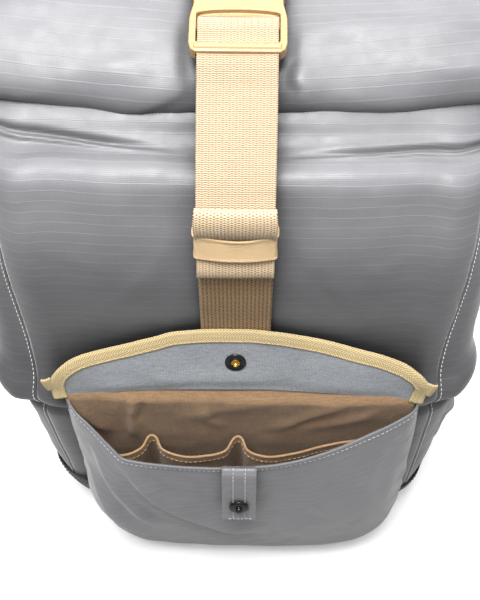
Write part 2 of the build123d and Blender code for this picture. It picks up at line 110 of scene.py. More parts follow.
def folds(a, b, table):
    """Sum of folds: each row is (points, height, left, right, fade); a negative height is a groove."""
    return sum(fold(a, b, *row) for row in table)


def resample(points, step):
    """Smooth curve through points, with stations about step apart, and the length at each."""
    points = np.asarray(points, float)
    cuts = np.r_[0, np.cumsum(np.linalg.norm(np.diff(points, axis=0), axis=1))]
    fine = np.linspace(0, cuts[-1], max(8 * len(points), int(cuts[-1] / step) * 3))
    dense = np.stack([curve(fine, cuts, points[:, k]) for k in range(points.shape[1])], 1)
    run = np.r_[0, np.cumsum(np.linalg.norm(np.diff(dense, axis=0), axis=1))]
    count = max(2, int(round(run[-1] / step)))
    at = np.linspace(0, run[-1], count + 1)
    return np.stack([np.interp(at, run, dense[:, k]) for k in range(dense.shape[1])], 1), at


def grid_normals(p):
    """Unit normal at each point of a (rows, columns, 3) grid: along columns crossed with along rows."""
    n = np.cross(np.gradient(p, axis=1), np.gradient(p, axis=0))
    return n / np.maximum(np.linalg.norm(n, axis=2, keepdims=True), 1e-9)


# ---- mesh building ----
class Build:
    """Collects quads with UVs in metres, then makes one object of them."""

    def __init__(self):
        self.points, self.uvs, self.faces, self.slots, self.count = [], [], [], [], 0

    def add(self, points, uv, faces, slot=0):
        self.points.append(np.asarray(points, float).reshape(-1, 3))
        self.uvs.append(np.asarray(uv, float).reshape(-1, 2))
        self.faces.append(np.asarray(faces, int).reshape(-1, 4) + self.count)
        self.slots.append(np.full(len(self.faces[-1]), slot, int))
        self.count += len(self.points[-1])

    def sheet(self, p, uv, thick, front=0, back=None, rim=None):
        """Closed sheet: the grid is its front, and its back is thick mm behind the normals."""
        rows, cols = p.shape[:2]
        back = front if back is None else back
        rim = front if rim is None else rim
        idx = np.arange(rows * cols).reshape(rows, cols)
        quad = np.stack([idx[:-1, :-1], idx[:-1, 1:], idx[1:, 1:], idx[1:, :-1]], -1).reshape(-1, 4)
        under = p - grid_normals(p) * np.asarray(thick).reshape(np.shape(thick) + (1,) * (3 - np.ndim(thick)))
        start = self.count
        self.add(p, uv, quad, front)
        self.add(under, uv, quad[:, ::-1], back)
        loop = np.r_[idx[0, :], idx[1:, -1], idx[-1, -2::-1], idx[-2:0:-1, 0]]
        after = np.roll(loop, -1)
        edge = np.stack([loop, loop + rows * cols, after + rows * cols, after], -1) + start
        self.faces.append(edge)
        self.slots.append(np.full(len(edge), rim, int))

    def tube(self, path, radius, sides=6, slot=0, up=(0, 0, 1)):
        """Round cord along a path, closed at both ends. Radius may change along it."""
        path = np.asarray(path, float)
        n = len(path)
        along = np.gradient(path, axis=0)
        along /= np.maximum(np.linalg.norm(along, axis=1, keepdims=True), 1e-9)
        a = np.cross(along, np.asarray(up, float))
        weak = np.linalg.norm(a, axis=1) < 1e-3
        a[weak] = np.cross(along[weak], (1.0, 0.1, 0.0))
        a /= np.linalg.norm(a, axis=1, keepdims=True)
        b = np.cross(a, along)
        turn = np.arange(sides) * 2 * math.pi / sides
        r = np.broadcast_to(radius, (n,)).reshape(n, 1, 1)
        ring = path[:, None] + r * (np.cos(turn)[:, None] * a[:, None] + np.sin(turn)[:, None] * b[:, None])
        idx = np.arange(n * sides).reshape(n, sides)
        nxt = np.roll(idx, -1, axis=1)
        quad = np.stack([idx[:-1], idx[1:], nxt[1:], nxt[:-1]], -1).reshape(-1, 4)
        half = [(k, k + 1, sides - 2 - k, sides - 1 - k) for k in range(sides // 2 - 1)]
        ends = [idx[0][list(q)] for q in half] + [idx[-1][list(q)][::-1] for q in half]
        uv = np.zeros((n * sides, 2))
        uv[:, 0] = np.repeat(np.arange(n) * 0.001, sides)
        self.add(ring, uv, np.r_[quad, np.array(ends)], slot)

    def stitches(self, path, out, slot, length=2.7, gap=1.1, radius=0.3):
        """Row of short raised stitches along a path in mm; out is the surface direction along it."""
        path, out = np.asarray(path, float), np.asarray(out, float)
        run = np.r_[0, np.cumsum(np.linalg.norm(np.diff(path, axis=0), axis=1))]
        shape = np.array([0, 0.12, 0.5, 0.88, 1.0])
        rise = 0.1 + np.array([-0.35, 0.1, 0.28, 0.1, -0.35])
        place = 0.0
        while place + length < run[-1]:
            at = place + shape * length
            mid = np.stack([np.interp(at, run, path[:, k]) for k in range(3)], 1)
            face = np.stack([np.interp(at, run, out[:, k]) for k in range(3)], 1)
            face /= np.maximum(np.linalg.norm(face, axis=1, keepdims=True), 1e-9)
            cord = mid + face * rise[:, None]
            self.tube(cord, radius * np.array([0.5, 0.95, 1.0, 0.95, 0.5]), 6, slot, face[2])
            place += length + gap

    def make(self, name, materials):
        points, uvs = np.concatenate(self.points) * MM, np.concatenate(self.uvs)
        faces, slots = np.concatenate(self.faces), np.concatenate(self.slots)
        mesh = bpy.data.meshes.new(name)
        mesh.vertices.add(len(points))
        mesh.vertices.foreach_set("co", points.ravel())
        mesh.loops.add(faces.size)
        mesh.loops.foreach_set("vertex_index", faces.ravel())
        mesh.polygons.add(len(faces))
        mesh.polygons.foreach_set("loop_start", np.arange(0, faces.size, 4))
        mesh.polygons.foreach_set("loop_total", np.full(len(faces), 4))
        mesh.polygons.foreach_set("material_index", slots)
        mesh.polygons.foreach_set("use_smooth", np.full(len(faces), True))
        mesh.update(calc_edges=True)
        layer = mesh.uv_layers.new(name="UVMap")
        layer.data.foreach_set("uv", uvs[faces.ravel()].ravel())
        mesh.validate()
        obj = bpy.data.objects.new(name, mesh)
        bpy.context.collection.objects.link(obj)
        for material in materials:
            mesh.materials.append(material)
        return obj


def facing(p, uv, at, way, axis=1):
    """The grid, turned over if its normal at one point looks away from the given direction."""
    if grid_normals(p)[at] @ np.array(way, float) < 0:
        return np.flip(p, axis), np.flip(uv, axis)
    return p, uv


def place(obj, body, slot, *nodes, bend=None):
    """Make a finished piece ride its body, or bake its transform in place when bend is given, and hide the
    CAD nodes it stands for. slot is not used.
    """
    if bend:
        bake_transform(obj)
    else:
        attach(obj, body)
    if nodes:
        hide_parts(*nodes)
    return obj


# ---- materials ----
class Nodes:
    """Short way to write node trees."""

    def __init__(self, name, rough):
        self.material = bpy.data.materials.new(name)
        self.material.use_nodes = True
        self.tree = self.material.node_tree
        self.bsdf = self.tree.nodes["Principled BSDF"]
        self.put("Roughness", rough)
        coord = self.tree.nodes.new("ShaderNodeTexCoord")
        self.object = coord.outputs["Object"]
        split = self.tree.nodes.new("ShaderNodeSeparateXYZ")
        self.tree.links.new(coord.outputs["UV"], split.inputs[0])
        self.u, self.v = split.outputs[0], split.outputs[1]

    def wire(self, node, key, value):
        if value is None:
            return
        if hasattr(value, "links"):
            self.tree.links.new(value, node.inputs[key])
        else:
            node.inputs[key].default_value = value

    def put(self, key, value):
        self.wire(self.bsdf, key, value)

    def math(self, kind, a, b=None, c=None):
        node = self.tree.nodes.new("ShaderNodeMath")
        node.operation = kind
        for i, v in enumerate((a, b, c)):
            self.wire(node, i, v)
        return node.outputs[0]

    def blend(self, share, a, b):
        node = self.tree.nodes.new("ShaderNodeMix")
        node.data_type = "RGBA"
        self.wire(node, 0, share)
        self.wire(node, 6, a)
        self.wire(node, 7, b)
        return node.outputs[2]

    def noise(self, scale, detail=3.0, stretch=(1, 1, 1)):
        place = self.tree.nodes.new("ShaderNodeMapping")
        self.wire(place, "Vector", self.object)
        place.inputs["Scale"].default_value = stretch
        node = self.tree.nodes.new("ShaderNodeTexNoise")
        self.wire(node, "Vector", place.outputs[0])
        self.wire(node, "Scale", scale)
        self.wire(node, "Detail", detail)
        return node.outputs[0]

    def span(self, value, low, high, to_low=0.0, to_high=1.0):
        node = self.tree.nodes.new("ShaderNodeMapRange")
        for i, v in enumerate((value, low, high, to_low, to_high)):
            self.wire(node, i, v)
        return node.outputs[0]

    def wave(self, coordinate, pitch):
        """0 to 1 and back once per pitch, in metres."""
        turn = self.math("MULTIPLY_ADD", coordinate, 2 * math.pi / pitch, 0.0)
        return self.math("MULTIPLY_ADD", self.math("COSINE", turn), 0.5, 0.5)

    def line(self, coordinate, pitch, share):
        """1 on a thin line once per pitch, else 0."""
        return self.span(self.wave(coordinate, pitch), 1 - share, 1 - share * 0.4)

    def bump(self, height, distance, strength=1.0):
        node = self.tree.nodes.new("ShaderNodeBump")
        self.wire(node, "Strength", strength)
        self.wire(node, "Distance", distance)
        self.wire(node, "Height", height)
        self.put("Normal", node.outputs[0])

    def paint_occlusion_shade(self, colour, deepest):
        """Painted shade: darken a colour by ambient occlusion in creases and narrow places, down to the given
        share.
        """
        node = self.tree.nodes.new("ShaderNodeAmbientOcclusion")
        node.samples = 8
        self.wire(node, "Distance", 0.09)
        share = self.span(node.outputs["AO"], 0.25, 0.95, deepest, 1.0)
        share = self.math("MULTIPLY", share, self.span(node.outputs["AO"], 0.08, 0.5, 0.08, 1.0))
        return self.blend(share, (0, 0, 0, 1), colour)


def rgb(r, g, b):
    """sRGB 0-255 to a linear colour."""
    return tuple(((c / 255 + 0.055) / 1.055) ** 2.4 if c > 10 else c / 3294 for c in (r, g, b)) + (1.0,)


def ripstop(name, dark, light, line, sheen, rough, painted_front_shade=False):
    """Plain nylon with a raised thread grid, slightly uneven, with a soft sheen. With the front switch on,
    the lower part of the front, which hangs over the open pocket, gets painted shade."""
    m = Nodes(name, rough)
    wobble = m.math("MULTIPLY_ADD", m.noise(60.0, 2.0), 0.0012, m.v)
    lines = m.math("MAXIMUM", m.line(wobble, 0.0072, 0.05),
                   m.math("MULTIPLY", m.line(m.u, 0.0066, 0.04), 0.12))
    patch = m.span(m.noise(14.0, 4.0), 0.3, 0.7)
    streak = m.noise(350.0, 2.0, (0.12, 0.12, 1.0))
    share = m.math("MULTIPLY_ADD", patch, 0.5, m.math("MULTIPLY", streak, 0.5))
    base = m.blend(share, rgb(*dark), rgb(*light))
    broken = m.span(m.noise(140.0, 2.0, (0.3, 0.3, 1.0)), 0.15, 0.6)
    cloth = m.blend(m.math("MULTIPLY", m.math("MULTIPLY", lines, broken), 0.22), base, rgb(*line))
    # Painted shade: the lower front over the open pocket is darkened by its position.
    if painted_front_shade:
        at = m.tree.nodes.new("ShaderNodeSeparateXYZ")
        m.wire(at, "Vector", m.tree.nodes.new("ShaderNodeNewGeometry").outputs["Position"])
        forward = m.span(at.outputs["Y"], -0.075, -0.03, 1.0, 0.0)
        low = m.span(at.outputs["Z"], 0.325, 0.375, 1.0, 0.0)
        deep = m.span(m.math("MULTIPLY", forward, low), 0.0, 1.0, 0.0, 0.55)
        cloth = m.blend(deep, cloth, (0, 0, 0, 1))
    # Painted shade from ambient occlusion goes into the base colour.
    m.put("Base Color", m.paint_occlusion_shade(cloth, 0.25))
    m.put("Roughness", m.span(m.noise(90.0, 3.0), 0.3, 0.7, rough - 0.06, rough + 0.06))
    m.put("Sheen Weight", sheen)
    m.put("Sheen Roughness", 0.4)
    m.put("Specular IOR Level", 0.55)
    weave = m.math("ADD", m.wave(m.u, 0.0011), m.wave(m.v, 0.0011))
    m.bump(m.math("ADD", m.math("MULTIPLY", lines, 0.7), m.math("MULTIPLY", weave, 0.25)), 0.00012, 0.7)
    return m.material


def plain_cloth(name, dark, light, pitch=0.0009, rough=0.8, sheen=0.2, grain=900.0, contrast=1.0):
    """Plain weave with heathered threads both ways."""
    m = Nodes(name, rough)
    warp = m.noise(grain, 2.0, (1.0, 1.0, 0.15))
    weft = m.noise(grain, 2.0, (0.15, 1.0, 1.0))
    mix = m.math("MULTIPLY", m.math("ADD", warp, weft), 0.5)
    cross = m.math("MULTIPLY", m.math("ADD", m.wave(m.u, pitch), m.wave(m.v, pitch)), 0.5)
    patch = m.noise(30.0, 3.0)
    share = m.math("ADD", m.span(mix, 0.38, 0.62, 0.5 - 0.4 * contrast, 0.5 + 0.4 * contrast),
                   m.math("MULTIPLY_ADD", patch, 0.3, -0.15))
    m.put("Base Color", m.blend(share, rgb(*dark), rgb(*light)))
    m.put("Sheen Weight", sheen)
    m.put("Specular IOR Level", 0.25)
    m.bump(m.math("ADD", cross, m.math("MULTIPLY", mix, 0.8)), 0.00022, 0.8)
    return m.material


def webbing(name, gap, dark, light, rows=0.00135, cords=0.00208, rough=0.62, shade=1.0, across=0.55):
    """Ribbed webbing: cross rows over lengthwise cords, with dark gaps where they meet."""
    m = Nodes(name, rough)
    cord = m.wave(m.u, cords)
    lean = m.math("MULTIPLY", m.math("PINGPONG", m.u, cords), 1.2 * (1 - across))
    row = m.wave(m.math("ADD", m.v, lean), rows)
    ribs = m.math("POWER", m.math("SUBTRACT", 1.0, cord), 0.5)
    level = m.math("ADD", m.math("MULTIPLY", row, across), m.math("MULTIPLY", ribs, 1 - across))
    tint = m.noise(120.0, 3.0)
    fibre = m.noise(1600.0, 1.0, (1.0, 1.0, 0.3))
    body = m.blend(m.math("ADD", m.math("MULTIPLY", tint, 0.6), m.math("MULTIPLY", fibre, 0.4)),
                   rgb(*dark), rgb(*light))
    m.put("Base Color", m.blend(m.span(level, 0.62 * shade, 0.12), body, rgb(*gap)))
    m.put("Sheen Weight", 0.25)
    m.put("Specular IOR Level", 0.35)
    m.bump(level, 0.00035, 0.9)
    return m.material


def herringbone(name, dark, light):
    """Tape with diagonal twill lines that turn at its middle; v runs across it."""
    m = Nodes(name, 0.75)
    half = 0.0055
    lean = m.math("PINGPONG", m.v, half)
    twill = m.wave(m.math("ADD", m.u, lean), 0.0021)
    thread = m.noise(1100.0, 2.0)
    share = m.math("ADD", m.math("MULTIPLY", twill, 0.7), m.math("MULTIPLY", thread, 0.4))
    edge = m.line(m.v, half, 0.02)
    share = m.math("SUBTRACT", share, m.math("MULTIPLY", edge, 0.35))
    m.put("Base Color", m.blend(share, rgb(*dark), rgb(*light)))
    m.put("Sheen Weight", 0.2)
    m.put("Specular IOR Level", 0.25)
    m.bump(m.math("ADD", twill, m.math("MULTIPLY", thread, 0.3)), 0.0003, 0.9)
    return m.material


def plastic(name, colour, rough=0.3, spread=0.02, grain=0.00002, scatter=0.0):
    """Moulded plastic with a fine skin and small wear marks."""
    m = Nodes(name, rough)
    dark = tuple(max(c * (1 - 6 * spread), 0) for c in colour)
    m.put("Base Color", m.blend(m.noise(60.0, 4.0), rgb(*dark), rgb(*colour)))
    m.put("Roughness", m.span(m.noise(400.0, 3.0), 0.35, 0.7, rough - 0.05, rough + 0.1))
    m.put("Specular IOR Level", 0.5)
    m.put("Subsurface Weight", scatter)
    m.put("Subsurface Scale", 0.002)
    m.bump(m.noise(2500.0, 2.0), grain, 0.5)
    return m.material


def metal(name, colour):
    m = Nodes(name, 0.25)
    m.put("Metallic", 1.0)
    bright = [min(255, c * 1.15) for c in colour]
    m.put("Base Color", m.blend(m.noise(200.0, 3.0), rgb(*colour), rgb(*bright)))
    m.put("Roughness", m.span(m.noise(900.0, 2.0), 0.3, 0.7, 0.25, 0.4))
    m.bump(m.noise(3000.0, 2.0), 0.00001, 0.4)
    return m.material


def air_mesh(name, colour):
    """Spacer mesh: small open cells over dark foam, from object coordinates."""
    m = Nodes(name, 0.85)
    cells = m.tree.nodes.new("ShaderNodeTexVoronoi")
    cells.feature = "DISTANCE_TO_EDGE"
    m.wire(cells, "Vector", m.object)
    m.wire(cells, "Scale", 420.0)
    wall = m.span(cells.outputs["Distance"], 0.02, 0.22)
    m.put("Base Color", m.blend(wall, rgb(*colour), rgb(8, 8, 9)))
    m.put("Sheen Weight", 0.3)
    m.bump(m.math("SUBTRACT", 1.0, wall), 0.0004, 0.9)
    return m.material


GREYS = (106, 106, 109), (121, 121, 124), (150, 150, 153)
# Nylon of the body panels, with painted shade low on the front over the pocket.
FRONT_SHADED_NYLON = ripstop("body_ripstop_shade_painted", *GREYS, 0.3, 0.44, painted_front_shade=True)
NYLON = ripstop("grey_ripstop", *GREYS, 0.3, 0.44)
BOOT = ripstop("black_boot_cloth", (16, 16, 17), (27, 27, 29), (44, 44, 46), 0.15, 0.5)
LINING = plain_cloth("brown_lining", (118, 92, 66), (156, 126, 94), 0.0008, 0.8, 0.25, 1000.0, 0.7)
HEM = plain_cloth("brown_hem", (142, 112, 80), (182, 148, 110), 0.0008, 0.8, 0.25, 1000.0, 0.7)
FLAP_LINING = plain_cloth("heather_lining", (104, 107, 111), (154, 158, 162), 0.0011, 0.8, 0.25, 1300.0, 0.55)
WEBBING = webbing("tan_webbing", (126, 98, 68), (190, 164, 134), (206, 184, 156),
                  0.00135, 0.00208, 0.6, 0.9, 0.8)
# Folded tail end: more cord shows on this face, and its lighter tones are painted light where the fold is lit
# from above.
WEBBING_FOLD_LIGHT_PAINTED = webbing("tan_webbing_fold_light_painted", (116, 88, 58), (202, 176, 140), (220, 198, 166),
                       0.00135, 0.00208, 0.62, 0.95, 0.62)
# Load strap's webbing: the corded back face is real; its darker tones are painted shade where the strap runs
# in shadow.
WEBBING_BACK_SHADE_PAINTED = webbing("tan_webbing_back_shade_painted", (34, 23, 12), (146, 112, 72), (170, 136, 92),
                       0.0019, 0.0027, 0.7, 1.15)
TAPE = herringbone("herringbone_tape", (150, 128, 86), (216, 196, 150))
ELASTIC = webbing("tan_elastic", (196, 160, 112), (226, 192, 144), (236, 206, 160),
                  0.0009, 0.0011, 0.6, 0.8, 0.85)
CREAM = plastic("cream_plastic", (190, 156, 108), 0.28, 0.01, 0.00001, 0.15)
BLACK = plastic("black_plastic", (26, 26, 27), 0.4, 0.05, 0.00004)
ENAMEL = plastic("black_enamel", (9, 9, 10), 0.12, 0.02, 0.000005)
BRASS = metal("brass", (205, 160, 78))
THREAD = plain_cloth("pale_thread", (196, 196, 194), (232, 232, 230), 0.0005, 0.6, 0.3, 2500.0, 0.6)
TAN_THREAD = plain_cloth("tan_thread", (198, 166, 116), (232, 204, 156), 0.0005, 0.6, 0.3, 2500.0, 0.6)
DARK_THREAD = plain_cloth("dark_thread", (40, 40, 42), (66, 66, 68), 0.0005, 0.6, 0.3, 2500.0, 0.6)
BLACK_WEB = webbing("black_webbing", (6, 6, 7), (26, 26, 28), (40, 40, 42), 0.0015, 0.0022, 0.6)
MESH_CLOTH = air_mesh("black_air_mesh", (46, 46, 48))
FOAM = plain_cloth("dark_foam", (28, 28, 30), (44, 44, 47), 0.0016, 0.9, 0.0, 500.0, 0.8)


# ---- the body's shape ----
Z_KEYS = [4, 40, 110, 170, 208, 230, 247, 264, 300, 335, 362, 388, 410, 440]
HALF_KEYS = [152, 164, 170, 172, 173, 173, 173, 173, 172, 171.5, 171, 170, 171, 172]
FRONT_KEYS = [-78, -87, -92.3, -94, -93, -88, -80, -73.5, -66, -61, -55, -44, -34, -30]
BACK_KEYS = [84, 90, 92, 92, 92, 92, 92, 92, 92, 92, 92, 92, 92, 92]
ROUND_KEYS = [28, 38, 44, 44, 44, 44, 43, 42, 40, 38.5, 37.5, 37, 34, 30]
BOOT_LINE = 41.0
NECK_LOW = 388.0


def drift(z):
    """The soft lower half of the bag leans a little to the right."""
    return 4.5 * ease((270 - np.asarray(z, float)) / 260)


def seam_x(z):
    """Half width at which the side seams run: they swing outward above the slack lower half."""
    return 149.0 + 9.0 * ease((np.asarray(z, float) - 225) / 110)


def section(z):
    return [curve(z, Z_KEYS, keys) for keys in (HALF_KEYS, FRONT_KEYS, BACK_KEYS, ROUND_KEYS)]


def front_y(x, z):
    """Front surface of the body at x, z."""
    half, front, _, r = section(z)
    over = np.clip(np.abs(x) - (half - r), 0, r - 0.01)
    soft = 3.4 * np.exp(-(((np.abs(x) - 118) / 26) ** 2)) * ease((150 - np.abs(x)) / 24)
    return front + r - np.sqrt(r * r - over * over) + soft


def side_plan(t, z):
    """Plan point (x, y) on the right side at share t from the front seam to the back seam."""
    half, front, back, r = section(z)
    lead = np.arcsin(np.clip((seam_x(z) - (half - r)) / r, -1, 1))
    arc = r * (math.pi / 2 - lead)
    flat = back - front - 2 * r
    run = t * (2 * arc + flat)
    a = lead + np.clip(run, 0, arc) / r
    b = np.clip(run - arc - flat, 0, arc) / r
    x = np.where(run <= arc, half - r + r * np.sin(a), half - r + r * np.cos(b))
    y = np.where(run <= arc, front + r - r * np.cos(a), back - r + r * np.sin(b))
    y = np.where((run > arc) & (run < arc + flat), front + r + run - arc, y)
    return x, y


# Neck: above NECK_LOW the tube closes to a flat slit inside the roll. q runs 0 to 1.
SLIT = (44.0, 430.0)
Q_FRONT = [0, 0.02, 0.057, 0.13, 0.237, 0.34, 0.41, 0.48, 0.54, 0.62, 0.76, 0.88, 1]
Z_FRONT = [388, 391.5, 397, 402.8, 406.3, 407.3, 408.8, 412.5, 417.5, 422, 425, 427.5, 430]
Q_BACK = [0, 0.12, 0.3, 0.5, 0.7, 1]
Z_BACK = [388, 404, 422, 428.5, 430, 430]


def neck(x, y, slit_x, q):
    """Point of the neck at share q above body point (x, y)."""
    rear = ease((y + 48) / 140)
    z = curve(q, Q_FRONT, Z_FRONT) * (1 - rear) + curve(q, Q_BACK, Z_BACK) * rear
    pull = q ** (1 + 0.6 * rear)
    return x + (slit_x - x) * pull, y + (SLIT[0] - y) * pull, z


def tube_rows():
    low = np.arange(BOOT_LINE - 3, NECK_LOW, 2.2)
    return low, np.linspace(0, 1, 84) ** 1.5


def join_rows(q, body, top, slit_x):
    """Stack the body rows and the neck rows of one panel."""
    x, y = top
    nx, ny, nz = neck(x[None, :], y[None, :], slit_x[None, :], q[:, None])
    neck_rows = np.stack(np.broadcast_arrays(nx, ny, nz), -1)
    return np.concatenate([body, neck_rows])


def panel_uv(p):
    """UVs in metres: along the first row, and up the middle column."""
    mid = p.shape[1] // 2
    up = np.r_[0, np.cumsum(np.linalg.norm(np.diff(p[:, mid], axis=0), axis=1))]
    row = p[p.shape[0] // 3]
    out = np.r_[0, np.cumsum(np.linalg.norm(np.diff(row, axis=0), axis=1))]
    return np.stack(np.meshgrid(out, up), -1) * MM


def slump(z, a, level):
    """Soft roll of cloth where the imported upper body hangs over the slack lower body."""
    away = np.abs(a) - 150
    edge = level + 4 * np.sin(away / 30.0) + 4 * noise(away, z * 0, 40, 5) * ease(np.abs(away) / 20)
    return 5.0 * np.exp(-(((z - edge - 9) / 11.0) ** 2)) - 3.8 * np.exp(-(((z - edge + 7) / 5.0) ** 2))


def cloth_noise(a, b, seed, coarse=1.1, fine=0.35):
    return (coarse * noise(a, b, 55, seed) + fine * noise(a, b, 19, seed + 1)
            + 0.12 * noise(a, b, 8, seed + 2))


def front_panel():
    """Front cloth from the boot up over the shoulder of the bag and into the roll."""
    low, q = tube_rows()
    share, gz = np.meshgrid(np.linspace(-1, 1, 141), low)
    gx = share * seam_x(gz)
    body = np.stack([gx + drift(gz), front_y(gx, gz), gz], -1)
    x = share[0] * seam_x(NECK_LOW)
    p = join_rows(q, body, (x, front_y(x, np.full_like(x, NECK_LOW))), share[0] * 160)
    uv = panel_uv(p)
    a = x[None, :] + 0 * p[..., 2]
    b = uv[..., 1] / MM + BOOT_LINE
    top = uv[len(low), 0, 1] / MM + BOOT_LINE
    out = cloth_noise(a, b, 21) * ease((b - 250) / 60)
    out += slump(p[..., 2], a, np.where(a < 0, 212.0, 219.0)) * ease((np.abs(a) - 124) / 24) * (b < top)
    # Shoulder highlights, then a ridge and its crease where the cloth turns in under the roll.
    out += folds(a, b - top, [
        ([(-158, 30), (-72, 27), (-10, 25)], 1.3, 9, 11, 0.3),
        ([(158, 26), (60, 24), (0, 23)], 1.3, 11, 8, 0.3),
        ([(-260, 66), (-118, 45.5), (-72, 40.5), (-30, 37)], 3.4, 15, 1.5, 0.35),
        ([(260, 47), (100, 37), (22, 33)], 3.2, 1.5, 15, 0.35),
        ([(-260, 69), (-118, 48.5), (-72, 43.5), (-30, 40)], -4.6, 2.6, 2.6, 0.3),
        ([(260, 50), (100, 40), (22, 36)], -4.6, 2.6, 2.6, 0.3)])
    out += 0.5 * noise(a, b, 34, 25) * ease((b - top - 26) / 12)
    # The strap presses a soft hollow, with drag lines beside it.
    out -= 1.3 * np.exp(-((a / 30) ** 2)) * ease((b - 250) / 30)
    for side in (-1, 1):
        out += folds(a, b, [
            ([(side * 34, 395), (side * 60, 345), (side * 104, 300)], 0.9, 11, 7, 0.4),
            ([(side * 30, 350), (side * 44, 310), (side * 50, 262)], 0.8, 8, 8, 0.4),
            ([(side * 142, 372), (side * 96, 352), (side * 60, 349)], 0.8, 9, 6, 0.5)])
    out = out - 0.45 * np.exp(-(((np.abs(a) - a.max()) / 3.0) ** 2))
    p = p + grid_normals(p) * out[..., None]
    return p, uv


def side_panel(bulge, level):
    """Right side cloth from seam to seam; the left is its mirror."""
    low, q = tube_rows()
    t = np.linspace(0, 1, 77)
    gt, gz = np.meshgrid(t, low)
    sx, sy = side_plan(gt, gz)
    body = np.stack([sx + drift(gz), sy, gz], -1)
    tx, ty = side_plan(t, np.full_like(t, NECK_LOW))
    slit = 160 + 28 * np.sin(math.pi * t)
    p = join_rows(q, body, (tx, ty), slit)
    uv = panel_uv(p)
    a, b = uv[..., 0] / MM, uv[..., 1] / MM + BOOT_LINE
    wide = a.max()
    mid = np.minimum(a, wide - a)
    keep = ease(mid / 14)
    droop = slump(p[..., 2], a + 150, level) * ease((wide * 0.62 - a) / 40)
    out = (cloth_noise(a, b, 61, 1.8, 0.6) + droop) * keep
    out += slump(p[..., 2], np.full_like(a, 150.0), level) * (1 - keep) * (a < wide / 2)
    out -= 0.45 * np.exp(-((mid / 3.0) ** 2))
    high = p[..., 2]
    belly = bulge * np.exp(-(((a - 28) / 26) ** 2)) * keep
    out += belly * ease((high - level + 9) / 14) * ease((372 - high) / 90)
    above = ease((b - 236) / 30)
    for start, stop, rise in ((20, 92, 1.6), (70, 140, 1.3), (10, 60, 1.1), (95, 150, 1.2)):
        line = [(start, 380 - start * 0.5), ((start + stop) / 2, 330), (stop, 268)]
        out += fold(a, b, line, rise, 12, 6, 0.4) * above
    # Vertical tuck where the tube folds in under the roll.
    out -= fold(a, b, [(wide * 0.5, 445), (wide * 0.5, 330)], 5.5, 9, 9, 0.35)
    p = p + grid_normals(p) * out[..., None]
    return p, uv


def back_panel():
    low, q = tube_rows()
    share, gz = np.meshgrid(np.linspace(1, -1, 133), low)
    gx = share * seam_x(gz)
    half, _, back, r = section(gz)
    over = np.clip(np.abs(gx) - (half - r), 0, r - 0.01)
    gy = back - r + np.sqrt(r * r - over * over)
    body = np.stack([gx + drift(gz), gy, gz], -1)
    p = join_rows(q, body, (gx[-1], gy[-1]), share[0] * 160)
    uv = panel_uv(p)
    a, b = gx[-1][None, :] + 0 * p[..., 2], uv[..., 1] / MM + BOOT_LINE
    out = 0.5 * cloth_noise(a, b, 81) * ease((np.abs(a) - 110) / 20)
    out = out - 0.9 * np.exp(-(((np.abs(a) - a.max()) / 3.0) ** 2))
    p = p + grid_normals(p) * out[..., None]
    return p, uv


def mirrored(p, uv):
    """Mirror a grid in X and keep its front face outward. The lean of the soft half isn't mirrored."""
    q = p[:, ::-1].copy()
    lean = drift(q[..., 2])
    q[..., 0] = -(q[..., 0] - lean) + lean
    return q, uv[:, ::-1]


CLOTH_MM = 1.3
seat = ("bag", "roll", (0, 0, 394), (0, 0, 431))

b = Build()
b.sheet(*front_panel(), CLOTH_MM)
place(b.make("front_cloth", [FRONT_SHADED_NYLON]), None, "pack_cloth", "front_panel", "top_collar", bend=seat)

for name, (p, uv) in (("right", side_panel(8.0, 219.0)), ("left", mirrored(*side_panel(12.0, 212.0)))):
    b = Build()
    b.sheet(p, uv, CLOTH_MM)
    # Topstitching on the side panel, just behind the front seam and just before the back seam.
    n = grid_normals(p)
    for col in (1, -2) if name == "right" else (-2, 1):
        b.stitches(p[:-26, col], n[:-26, col], 1)
    cloth = b.make("side_cloth_" + name, [FRONT_SHADED_NYLON, THREAD])
    place(cloth, None, "pack_cloth", "side_panel_" + name, bend=seat)

b = Build()
b.sheet(*back_panel(), CLOTH_MM)
place(b.make("back_cloth", [NYLON]), None, "pack_cloth", "back_panel", bend=seat)


